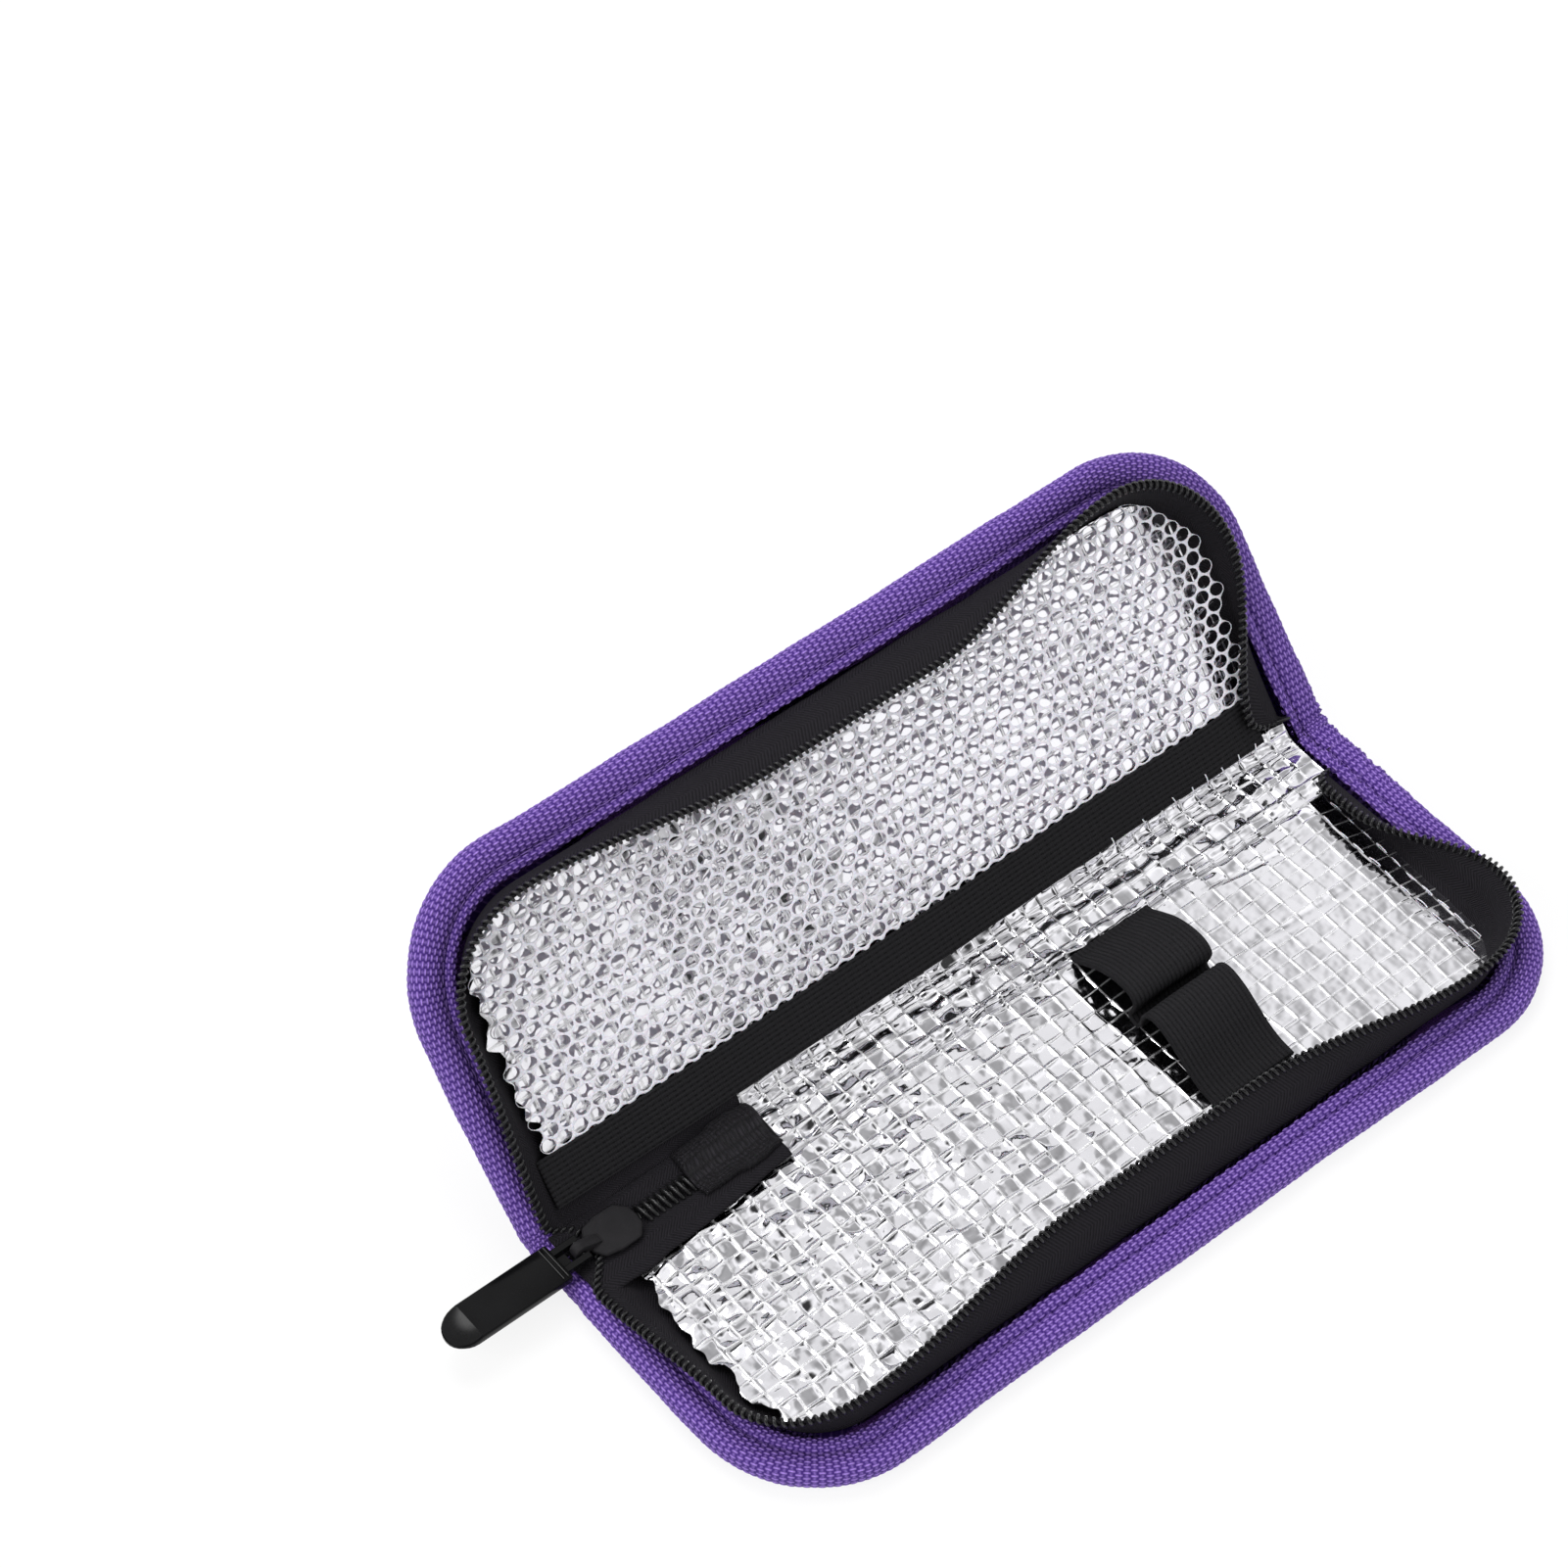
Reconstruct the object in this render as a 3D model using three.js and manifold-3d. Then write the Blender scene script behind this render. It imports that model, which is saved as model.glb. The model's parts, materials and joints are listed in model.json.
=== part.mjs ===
// Insulated zip case for insulin pens, open on a table: millimetres, +Z up.
// The origin is under the middle of the base panel, +X runs along the case,
// and -Y is the side that faces the user. The case is one padded sheet that
// folds at two lines: base and spine lie flat, the lid leans back.
import * as THREE from "three";
import { mergeVertices } from "three/addons/utils/BufferGeometryUtils.js";
import Module from "manifold-3d";

const wasm = await Module();
wasm.setup();

// Overall form
const CASE_LENGTH = 200;
const BASE_DEPTH = 63; // front edge to the spine fold
const LID_DEPTH = 72; // lid fold to the free edge
const SPINE_WIDTH = 15; // fold line to fold line
const BASE_CORNER = 26;
const LID_CORNER = 28.5;
const LID_ANGLE = THREE.MathUtils.degToRad(48.6); // lid above the table
const FIT_GAP = 0.3; // between pieces that touch
const SEAM_GAP = 0.15; // from a fold line to the cover's edge

// Padded sheet, from the outside in
const COVER_EDGE = 0.6; // cloth inside the binding; the panel's field is thicker
const FOAM_THICKNESS = 1.9;
const LINING_THICKNESS = 0.5;
const BASE_PAD_START = 4.2; // from the spine fold to the base's foam and lining
const SPINE_PAD_GAP = 3.2; // from either fold to the spine's foam, lining and binding
const LID_PAD_START = 3.6; // from the lid fold to the lid's foam and lining
const FOLD_ABOVE_COVER = 0.1; // fold axis above the cover's inner face

// Webbing folded over the edge
const BINDING_WIDTH = 8.4;
const BINDING_THICKNESS = 0.9;
const BINDING_ROUND = 1.2;
const BASE_BINDING_START = 6; // from the spine fold
const LID_BINDING_START = 6.8; // from the lid fold

// Zip tape that stands up inside the binding, and its coil
const TAPE_THICKNESS = 0.9;
const BASE_TAPE_START = 9; // from the fold
const LID_TAPE_START = 9;
const TAPE_FOOT = 1.7; // tape and seam allowance that the binding holds
const TAPE_RISE_AT_FOLD = 1.6; // tape edge above the binding
const TAPE_RISE_AT_FREE_EDGE = 7.7;
const TAPE_SEWN_EDGE = 2; // from the outer edge to the tape's hidden edge
const COIL_WIDTH = 2;
const COIL_THICKNESS = 2.2;
const COIL_BULGE = 0.4;
// How far the tape's edge leans inwards, from the left fold round to the right:
// at the fold, before and after the corner, in the middle, and back again
const BASE_LEAN = [-5.4, -3.4, 1, 7.5, -0.4, -5.1, 5.6];
const LID_LEAN = [-4.9, -2.9, 0.9, 7.3, -3.1, -1.7, 10];
const LEAN_RUN_LEFT = 55; // along the free edge, from the left corner to the full lean
const LEAN_RUN_RIGHT = 50;

// Elastic strap with two pen loops
const STRAP_LEFT = 20.5; // from the middle of the case
const STRAP_WIDTH = 19.5;
const STRAP_THICKNESS = 0.9;
const STRAP_PINCH = 0.4; // between the loops where they meet the lining
const STRAP_RISE = 6.4; // top of a loop above the lining
const STRAP_SETBACK = 0.2; // edge of the lining to the first foot
const STRAP_FRONT_FOOT = 4;
const STRAP_FRONT_GAP = 10.6; // last foot to the front of the lining
const FIRST_LOOP_SPAN = 11.5; // the loop next to the spine

// Net pocket in the lid
const ELASTIC_START = 4.6; // from the lid fold
const ELASTIC_WIDTH = 9.6;
const ELASTIC_THICKNESS = 0.7;
const ELASTIC_LEFT_INSET = 11.5; // from the ends of the case
const ELASTIC_RIGHT_INSET = 23;
const NET_THICKNESS = 0.8;
const NET_HOLE = 4.8; // across the flats
const NET_BAR = 1.5;
const NET_HEM = 1.6;
const NET_CLEARANCE = 2; // from the lining's edge to the net

// Closed end of the zip on the spine
const TAIL_INSET = 34; // left end of the case to the spine's foam and lining
const TAB_LENGTH = 14.5;
const TAB_WIDTH = 7.4;
const TAB_THICKNESS = 1.5;
const CHAIN_WIDTH = 5.6;
const CHAIN_THICKNESS = 1.4;
const CHAIN_IN_SLIDER = 5; // chain end to the slider's right end
const ZIP_OFFSET = 6.3; // spine fold to the chain's middle

// Slider and puller
const SLIDER_LENGTH = 11;
const SLIDER_WIDTH = 9;
const SLIDER_WAIST = 4.4; // length of the slider's straight sides
const SLIDER_PLATE = 1.1;
const SLIDER_CLEARANCE = 0.4; // from the binding to the slider's left end
const LUG_WIDTH = 2.4;
const LUG_RADIUS = 2;
const LUG_REACH = 2.9; // slider's left end to the puller's pin
const PIN_RADIUS = 0.8;
const PULL_LENGTH = 30.5; // pin to tip
const PULL_WIDTH = 9.2;
const PULL_THICKNESS = 2;
const PULL_SLOT = 6.4; // length of the slot that takes the lug

// Heights of the layers above the sheet's outer face
const COVER_TOP = BINDING_THICKNESS + FIT_GAP + COVER_EDGE;
const FOAM_BOTTOM = COVER_TOP + FIT_GAP;
const FOAM_TOP = FOAM_BOTTOM + FOAM_THICKNESS;
const LINING_BOTTOM = FOAM_TOP + FIT_GAP;
const LINING_TOP = LINING_BOTTOM + LINING_THICKNESS;
const FOLD_HEIGHT = COVER_TOP + FOLD_ABOVE_COVER;
const FOOT_TOP = FOAM_BOTTOM + TAPE_FOOT;
const BINDING_HEIGHT = FOOT_TOP + FIT_GAP + BINDING_THICKNESS;
const TAPE_ROOT = BINDING_WIDTH + FIT_GAP; // outer edge to the tape's foot
const SHEET_EDGE = TAPE_ROOT + TAPE_THICKNESS + FIT_GAP;
const NET_EDGE = SHEET_EDGE + NET_CLEARANCE;
const HALF_LENGTH = CASE_LENGTH / 2;
const SPINE_FOLD_Y = BASE_DEPTH / 2;
const LID_FOLD_Y = SPINE_FOLD_Y + SPINE_WIDTH;
const ZIP_Y = SPINE_FOLD_Y + ZIP_OFFSET;
const LINING_LEFT = HALF_LENGTH - TAIL_INSET;
const SLIDER_LEFT = HALF_LENGTH - BINDING_WIDTH - SLIDER_CLEARANCE;
const STRAP_START = BASE_PAD_START + STRAP_SETBACK;
const STRAP_RUN = BASE_DEPTH - SHEET_EDGE - STRAP_FRONT_GAP - STRAP_START;
const STRAP_FOOT = 2 * STRAP_THICKNESS + STRAP_PINCH;
const LOOPS_RUN = STRAP_RUN - 2 * STRAP_FOOT - STRAP_FRONT_FOOT;
const SECOND_LOOP_SPAN = LOOPS_RUN - FIRST_LOOP_SPAN;

const CORNER_STEPS = 8;
const END_STEPS = 4;
const LEAN_STEPS = 5;
const FREE_STEPS = 2;
const ROUND_STEPS = 20;

const BASE = { depth: BASE_DEPTH, corner: BASE_CORNER, lean: BASE_LEAN };
const LID = { depth: LID_DEPTH, corner: LID_CORNER, lean: LID_LEAN };

const finish = (color, roughness, metalness = 0) => ({ color, roughness, metalness });
const COVER_CLOTH = finish(0x4a1d86, 0.6);
const BINDING_WEBBING = finish(0x5c34ac, 0.75);
const FOAM = finish(0xe4e4e0, 0.9);
const FOIL = finish(0xd9dadb, 0.22, 1);
const TAPE = finish(0x151416, 0.85);
const COIL = finish(0x1a1a1b, 0.45);
const ELASTIC = finish(0x131314, 0.9);
const NET = finish(0xf1f1f0, 0.7);
const SLIDER_PAINT = finish(0x29292c, 0.5, 0.3);
const PULL_ENAMEL = finish(0x0b0b0c, 0.15, 0.2);

// A geometry with shared vertices and positions only
function positionsOnly(geometry) {
  const plain = geometry.clone();
  plain.deleteAttribute("normal");
  plain.deleteAttribute("uv");
  return mergeVertices(plain, 1e-4);
}

function solidOf(geometry) {
  const merged = positionsOnly(geometry);
  const mesh = new wasm.Mesh({
    numProp: 3,
    vertProperties: merged.attributes.position.array,
    triVerts: new Uint32Array(merged.index.array),
  });
  return new wasm.Manifold(mesh);
}

function geometryOf(solid) {
  const mesh = solid.getMesh();
  const geometry = new THREE.BufferGeometry();
  geometry.setAttribute("position", new THREE.BufferAttribute(mesh.vertProperties, 3));
  geometry.setIndex(new THREE.BufferAttribute(mesh.triVerts, 1));
  const flat = geometry.toNonIndexed();
  flat.computeVertexNormals();
  return flat;
}

// A plate of the given outline between two heights
function plate(shape, bottom, top, curveSegments = CORNER_STEPS) {
  const options = { depth: top - bottom, bevelEnabled: false, curveSegments };
  return new THREE.ExtrudeGeometry(shape, options).translate(0, 0, bottom);
}

function rectangle(left, right, near, far) {
  const shape = new THREE.Shape();
  shape.moveTo(left, near);
  shape.lineTo(right, near);
  shape.lineTo(right, far);
  shape.lineTo(left, far);
  shape.closePath();
  return shape;
}

// Outline of a panel in its own plane: x along the case, y away from the fold
function panelOutline(panel, inset, start) {
  const half = HALF_LENGTH - inset;
  const far = panel.depth - inset;
  const radius = panel.corner - inset;
  const shape = new THREE.Shape();
  shape.moveTo(-half, start);
  shape.lineTo(-half, far - radius);
  shape.absarc(-half + radius, far - radius, radius, Math.PI, Math.PI / 2, true);
  shape.lineTo(half - radius, far);
  shape.absarc(half - radius, far - radius, radius, Math.PI / 2, 0, true);
  shape.lineTo(half, start);
  shape.closePath();
  return shape;
}

const ease = (share) => share * share * (3 - 2 * share);

// Stations along a panel's edge, from the left fold round to the right one.
// Each has its point, the direction inwards and the lean of the tape there.
function edgeStations(panel, start) {
  const { depth, corner, lean } = panel;
  const [left, beforeLeft, afterLeft, middle, beforeRight, afterRight, right] = lean;
  const lerp = THREE.MathUtils.lerp;
  const straight = depth - corner;
  const freeHalf = HALF_LENGTH - corner;
  const stations = [];
  const leg = (steps, from, to, place) => {
    const first = stations.length === 0 ? 0 : 1;
    for (let i = first; i <= steps; i++) {
      const share = i / steps;
      stations.push({ ...place(share), lean: lerp(from, to, ease(share)) });
    }
  };
  const end = (side, near, far) => (share) => ({
    x: side * HALF_LENGTH,
    y: lerp(near, far, share),
    inX: -side,
    inY: 0,
  });
  const free = (from, to) => (share) => ({ x: lerp(from, to, share), y: depth, inX: 0, inY: -1 });
  const bend = (side, from) => (share) => {
    const angle = Math.abs(from - share) * (Math.PI / 2);
    const [outX, outY] = [side * Math.cos(angle), Math.sin(angle)];
    return { x: side * freeHalf + corner * outX, y: straight + corner * outY, inX: -outX, inY: -outY };
  };
  const fullLeft = -freeHalf + LEAN_RUN_LEFT;
  const fullRight = freeHalf - LEAN_RUN_RIGHT;
  leg(END_STEPS, left, beforeLeft, end(-1, start, straight));
  leg(CORNER_STEPS, beforeLeft, afterLeft, bend(-1, 0));
  leg(LEAN_STEPS, afterLeft, middle, free(-freeHalf, fullLeft));
  leg(FREE_STEPS, middle, middle, free(fullLeft, fullRight));
  leg(LEAN_STEPS, middle, beforeRight, free(fullRight, freeHalf));
  leg(CORNER_STEPS, beforeRight, afterRight, bend(1, 1));
  leg(END_STEPS, afterRight, right, end(1, straight, start));
  return stations;
}

// A closed body through one ring of points per station
function loft(stations, sectionAt) {
  const sections = stations.map(sectionAt);
  const count = sections[0].length;
  const positions = [];
  stations.forEach((station, i) => {
    for (const point of sections[i]) {
      positions.push(station.x + station.inX * point.x, station.y + station.inY * point.x, point.y);
    }
  });
  const index = [];
  for (let ring = 0; ring < stations.length - 1; ring++) {
    for (let k = 0; k < count; k++) {
      const a = ring * count + k;
      const b = ring * count + ((k + 1) % count);
      index.push(a, a + count, b, b, a + count, b + count);
    }
  }
  const last = (stations.length - 1) * count;
  for (const [a, b, c] of THREE.ShapeUtils.triangulateShape(sections[0], [])) {
    index.push(a, b, c);
  }
  for (const [a, b, c] of THREE.ShapeUtils.triangulateShape(sections.at(-1), [])) {
    index.push(last + a, last + c, last + b);
  }
  const geometry = new THREE.BufferGeometry();
  geometry.setAttribute("position", new THREE.Float32BufferAttribute(positions, 3));
  geometry.setIndex(index);
  const flat = geometry.toNonIndexed();
  flat.computeVertexNormals();
  return flat;
}

const at = (x, y) => new THREE.Vector2(x, y);

// Webbing folded over the edge: x inwards from the outer edge, y up
function bindingSection() {
  const top = BINDING_HEIGHT;
  const inner = BINDING_THICKNESS;
  return [
    at(BINDING_ROUND, 0),
    at(BINDING_WIDTH, 0),
    at(BINDING_WIDTH, inner),
    at(inner, inner),
    at(inner, top - inner),
    at(BINDING_WIDTH, top - inner),
    at(BINDING_WIDTH, top),
    at(BINDING_ROUND, top),
    at(0, top - BINDING_ROUND),
    at(0, BINDING_ROUND),
  ];
}

// Where the tape bends, its free edge, its direction and its inner side
function tapeLine(panel, station) {
  const knee = at(TAPE_ROOT, BINDING_HEIGHT + FIT_GAP);
  const away = station.y / panel.depth;
  const rise = THREE.MathUtils.lerp(TAPE_RISE_AT_FOLD, TAPE_RISE_AT_FREE_EDGE, away);
  const edge = at(TAPE_ROOT + station.lean, BINDING_HEIGHT + FIT_GAP + rise);
  const along = edge.clone().sub(knee).normalize();
  const inner = at(along.y, -along.x);
  return { knee, edge, along, inner };
}

function tapeSection(panel, station) {
  const { knee, edge, inner } = tapeLine(panel, station);
  const innerRoot = TAPE_ROOT + TAPE_THICKNESS;
  const innerKnee = at(innerRoot, knee.y + TAPE_THICKNESS * Math.max(0, inner.y));
  return [
    at(TAPE_SEWN_EDGE, FOAM_BOTTOM),
    at(innerRoot, FOAM_BOTTOM),
    innerKnee,
    edge.clone().addScaledVector(inner, TAPE_THICKNESS),
    edge,
    knee,
    at(TAPE_ROOT, FOOT_TOP),
    at(TAPE_SEWN_EDGE, FOOT_TOP),
  ];
}

function coilSection(panel, station) {
  const { edge, along, inner } = tapeLine(panel, station);
  const start = edge.clone().addScaledVector(inner, TAPE_THICKNESS / 2);
  start.addScaledVector(along, FIT_GAP);
  const point = (out, side) =>
    start.clone().addScaledVector(along, out).addScaledVector(inner, side);
  const half = COIL_THICKNESS / 2;
  return [
    point(0, half - COIL_BULGE),
    point(COIL_WIDTH / 2, half),
    point(COIL_WIDTH, half - COIL_BULGE),
    point(COIL_WIDTH, COIL_BULGE - half),
    point(COIL_WIDTH / 2, -half),
    point(0, COIL_BULGE - half),
  ];
}

// Outer cloth: thick under the panel, thin where the binding holds its edge
function coverGeometry(field, edge) {
  const tongue = BINDING_THICKNESS + FIT_GAP;
  const body = solidOf(plate(field, 0, COVER_TOP));
  return geometryOf(body.add(solidOf(plate(edge, tongue, COVER_TOP))));
}

function panelCover(panel) {
  const field = panelOutline(panel, TAPE_ROOT, SEAM_GAP);
  const edge = panelOutline(panel, BINDING_THICKNESS + FIT_GAP, SEAM_GAP);
  return coverGeometry(field, edge);
}

const panelFoam = (panel, start) =>
  plate(panelOutline(panel, SHEET_EDGE, start), FOAM_BOTTOM, FOAM_TOP);

const panelLining = (panel, start) =>
  plate(panelOutline(panel, SHEET_EDGE, start), LINING_BOTTOM, LINING_TOP);

const panelBinding = (panel, start) => loft(edgeStations(panel, start), bindingSection);

const panelTape = (panel, start) =>
  loft(edgeStations(panel, start), (station) => tapeSection(panel, station));

const panelCoil = (panel, start) =>
  loft(edgeStations(panel, start), (station) => coilSection(panel, station));

// Spine: a strip between the two folds, y from the spine fold
function spineCover() {
  const near = SEAM_GAP;
  const far = SPINE_WIDTH - SEAM_GAP;
  const field = HALF_LENGTH - TAPE_ROOT;
  const edge = HALF_LENGTH - BINDING_THICKNESS - FIT_GAP;
  const body = rectangle(-field, field, near, far);
  return coverGeometry(body, rectangle(-edge, edge, near, far));
}

function spineLayer(bottom, top) {
  const right = HALF_LENGTH - SHEET_EDGE;
  const far = SPINE_WIDTH - SPINE_PAD_GAP;
  return plate(rectangle(-LINING_LEFT, right, SPINE_PAD_GAP, far), bottom, top);
}

// Webbing over one end of the spine; side is -1 at the left end
function spineBinding(side) {
  const place = (y) => ({ x: side * HALF_LENGTH, y, inX: -side, inY: 0 });
  const ends = [SPINE_PAD_GAP, SPINE_WIDTH - SPINE_PAD_GAP].map(place);
  return loft(side < 0 ? ends : ends.reverse(), bindingSection);
}

// Strap profile from the foot at the spine over both loops to the front foot:
// x runs towards the front, y up from the lining
function strapGeometry() {
  const lift = STRAP_RISE - STRAP_THICKNESS;
  const under = [];
  const over = [];
  let from = STRAP_FOOT;
  for (const span of [FIRST_LOOP_SPAN, SECOND_LOOP_SPAN]) {
    const inner = span / 2;
    const outer = inner + STRAP_THICKNESS;
    const middle = from + inner;
    for (let i = 0; i <= ROUND_STEPS; i++) {
      const angle = (Math.PI * i) / ROUND_STEPS;
      const rise = lift * Math.sqrt(Math.sin(angle));
      under.push(at(middle - inner * Math.cos(angle), rise));
      over.push(at(middle - outer * Math.cos(angle), STRAP_THICKNESS + rise));
    }
    from += span + STRAP_FOOT;
  }
  const outline = [at(0, 0), ...under, at(STRAP_RUN, 0), at(STRAP_RUN, STRAP_THICKNESS)];
  outline.push(...over.reverse(), at(0, STRAP_THICKNESS));
  const options = { depth: STRAP_WIDTH, bevelEnabled: false };
  const strip = new THREE.ExtrudeGeometry(new THREE.Shape(outline), options);
  return strip.rotateX(Math.PI / 2).rotateZ(Math.PI / 2);
}

// Flat net of six-sided holes over the lid's lining
function netGeometry() {
  const near = ELASTIC_START + ELASTIC_WIDTH + FIT_GAP;
  const shape = panelOutline(LID, NET_EDGE, near);
  const margin = NET_HEM + NET_HOLE / 2;
  const field = panelOutline(LID, NET_EDGE + margin, near + margin).getPoints(CORNER_STEPS);
  const pitch = NET_HOLE + NET_BAR;
  const rowPitch = (pitch * Math.sqrt(3)) / 2;
  const side = NET_HOLE / Math.sqrt(3);
  const columns = Math.ceil(HALF_LENGTH / pitch);
  const rows = Math.ceil(LID_DEPTH / rowPitch);
  for (let row = 0; row <= rows; row++) {
    for (let column = -columns; column <= columns; column++) {
      const x = (column + (row % 2) / 2) * pitch;
      const y = near + margin + row * rowPitch;
      if (!insideOutline(field, x, y)) continue;
      const hole = new THREE.Path();
      for (let corner = 0; corner < 6; corner++) {
        const angle = (Math.PI / 3) * (corner + 0.5);
        const point = at(x + side * Math.cos(angle), y + side * Math.sin(angle));
        if (corner === 0) hole.moveTo(point.x, point.y);
        else hole.lineTo(point.x, point.y);
      }
      hole.closePath();
      shape.holes.push(hole);
    }
  }
  const bottom = LINING_TOP + FIT_GAP;
  return plate(shape, bottom, bottom + NET_THICKNESS);
}

function insideOutline(points, x, y) {
  let inside = false;
  points.forEach((a, i) => {
    const b = points[(i + 1) % points.length];
    const crosses = a.y > y !== b.y > y;
    if (crosses && x < ((b.x - a.x) * (y - a.y)) / (b.y - a.y) + a.x) inside = !inside;
  });
  return inside;
}

function elasticGeometry() {
  const far = ELASTIC_START + ELASTIC_WIDTH;
  const left = ELASTIC_LEFT_INSET - HALF_LENGTH;
  const right = HALF_LENGTH - ELASTIC_RIGHT_INSET;
  const band = rectangle(left, right, ELASTIC_START, far);
  const bottom = LINING_TOP + FIT_GAP;
  return plate(band, bottom, bottom + ELASTIC_THICKNESS);
}

const SLIDER_BOTTOM = COVER_TOP + FIT_GAP;
const CHAIN_BOTTOM = SLIDER_BOTTOM + SLIDER_PLATE + FIT_GAP;
const CHAIN_TOP = CHAIN_BOTTOM + CHAIN_THICKNESS;
const SLIDER_TOP = CHAIN_TOP + FIT_GAP + SLIDER_PLATE;
const SLIDER_RIGHT = -SLIDER_LEFT + SLIDER_LENGTH;
const PIN_X = -SLIDER_LEFT - LUG_REACH;
const PIN_Z = BINDING_HEIGHT + FIT_GAP + LUG_RADIUS;

function tailGeometry() {
  const left = SLIDER_RIGHT - CHAIN_IN_SLIDER;
  const right = -LINING_LEFT - FIT_GAP;
  const near = ZIP_OFFSET - CHAIN_WIDTH / 2;
  return plate(rectangle(left, right, near, near + CHAIN_WIDTH), CHAIN_BOTTOM, CHAIN_TOP);
}

function tabGeometry() {
  const near = ZIP_OFFSET - TAB_WIDTH / 2;
  const left = -LINING_LEFT;
  const bottom = LINING_TOP + FIT_GAP;
  const outline = rectangle(left, left + TAB_LENGTH, near, near + TAB_WIDTH);
  return plate(outline, bottom, bottom + TAB_THICKNESS);
}

// Slider shell round the chain, with the lug that takes the puller's pin
function sliderGeometry() {
  const half = SLIDER_WIDTH / 2;
  const left = -SLIDER_LEFT;
  const shoulder = (SLIDER_LENGTH - SLIDER_WAIST) / 2;
  const outline = new THREE.Shape();
  outline.moveTo(left, -half / 2);
  outline.lineTo(left + shoulder, -half);
  outline.lineTo(SLIDER_RIGHT - shoulder, -half);
  outline.lineTo(SLIDER_RIGHT, -half + SLIDER_PLATE);
  outline.lineTo(SLIDER_RIGHT, half - SLIDER_PLATE);
  outline.lineTo(SLIDER_RIGHT - shoulder, half);
  outline.lineTo(left + shoulder, half);
  outline.lineTo(left, half / 2);
  outline.closePath();
  const channelHalf = CHAIN_WIDTH / 2 + FIT_GAP;
  const reach = SLIDER_LENGTH;
  const channel = rectangle(left - reach, SLIDER_RIGHT + reach, -channelHalf, channelHalf);
  const shell = solidOf(plate(outline, SLIDER_BOTTOM, SLIDER_TOP));
  const tunnel = solidOf(plate(channel, CHAIN_BOTTOM - FIT_GAP, CHAIN_TOP + FIT_GAP));
  return geometryOf(shell.subtract(tunnel).add(lugSolid())).translate(0, ZIP_Y, 0);
}

function lugSolid() {
  const seatX = -SLIDER_LEFT + LUG_REACH;
  const low = SLIDER_TOP - SLIDER_PLATE / 2;
  const profile = new THREE.Shape();
  profile.moveTo(seatX, low);
  profile.lineTo(seatX, SLIDER_TOP + SLIDER_PLATE / 2);
  profile.lineTo(PIN_X, PIN_Z + LUG_RADIUS);
  profile.absarc(PIN_X, PIN_Z, LUG_RADIUS, Math.PI / 2, (Math.PI * 3) / 2, false);
  profile.lineTo(-SLIDER_LEFT, low);
  profile.closePath();
  const eye = new THREE.Path();
  eye.absarc(PIN_X, PIN_Z, PIN_RADIUS + FIT_GAP, 0, Math.PI * 2, true);
  profile.holes.push(eye);
  const options = { depth: LUG_WIDTH, bevelEnabled: false, curveSegments: CORNER_STEPS };
  const lug = new THREE.ExtrudeGeometry(profile, options);
  return solidOf(lug.rotateX(Math.PI / 2).translate(0, LUG_WIDTH / 2, 0));
}

// Puller: a flat tab with a round tip, slotted for the lug, with a pin across
function pullGeometry() {
  const half = PULL_WIDTH / 2;
  const tip = PIN_X - PULL_LENGTH;
  const outline = new THREE.Shape();
  outline.moveTo(PIN_X, -half);
  outline.lineTo(PIN_X, half);
  outline.lineTo(tip + half, half);
  outline.absarc(tip + half, 0, half, Math.PI / 2, (Math.PI * 3) / 2, false);
  outline.closePath();
  const bottom = PIN_Z - PULL_THICKNESS / 2;
  const top = PIN_Z + PULL_THICKNESS / 2;
  const tab = solidOf(plate(outline, bottom, top));
  const headRadius = PULL_THICKNESS / 2;
  const roundHead = new THREE.CylinderGeometry(headRadius, headRadius, PULL_WIDTH, ROUND_STEPS);
  const slotHalf = LUG_WIDTH / 2 + FIT_GAP;
  const slot = rectangle(PIN_X - PULL_SLOT, PIN_X + PULL_SLOT, -slotHalf, slotHalf);
  const cut = solidOf(plate(slot, bottom - PULL_THICKNESS, top + PULL_THICKNESS));
  const pin = new THREE.CylinderGeometry(PIN_RADIUS, PIN_RADIUS, PULL_WIDTH, ROUND_STEPS);
  const eye = solidOf(roundHead.translate(PIN_X, 0, PIN_Z));
  const axle = solidOf(pin.translate(PIN_X, 0, PIN_Z));
  return geometryOf(tab.add(eye).subtract(cut).add(axle)).translate(0, ZIP_Y, 0);
}

// Assembly
const insulinCase = new THREE.Group();
const baseGroup = new THREE.Group();
baseGroup.position.set(0, SPINE_FOLD_Y, 0);
baseGroup.scale.set(1, -1, 1); // the base runs from its fold towards -Y
const spineGroup = new THREE.Group();
spineGroup.position.set(0, SPINE_FOLD_Y, 0);
const lidGroup = new THREE.Group();
lidGroup.position.set(0, LID_FOLD_Y, FOLD_HEIGHT);
lidGroup.rotation.x = LID_ANGLE;
const lidSheet = new THREE.Group();
lidSheet.position.z = -FOLD_HEIGHT;
lidGroup.add(lidSheet);
insulinCase.add(baseGroup, spineGroup, lidGroup);

function addPiece(group, name, geometry, look) {
  const mesh = new THREE.Mesh(geometry, new THREE.MeshStandardMaterial(look));
  mesh.name = name;
  group.add(mesh);
  return mesh;
}

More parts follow.
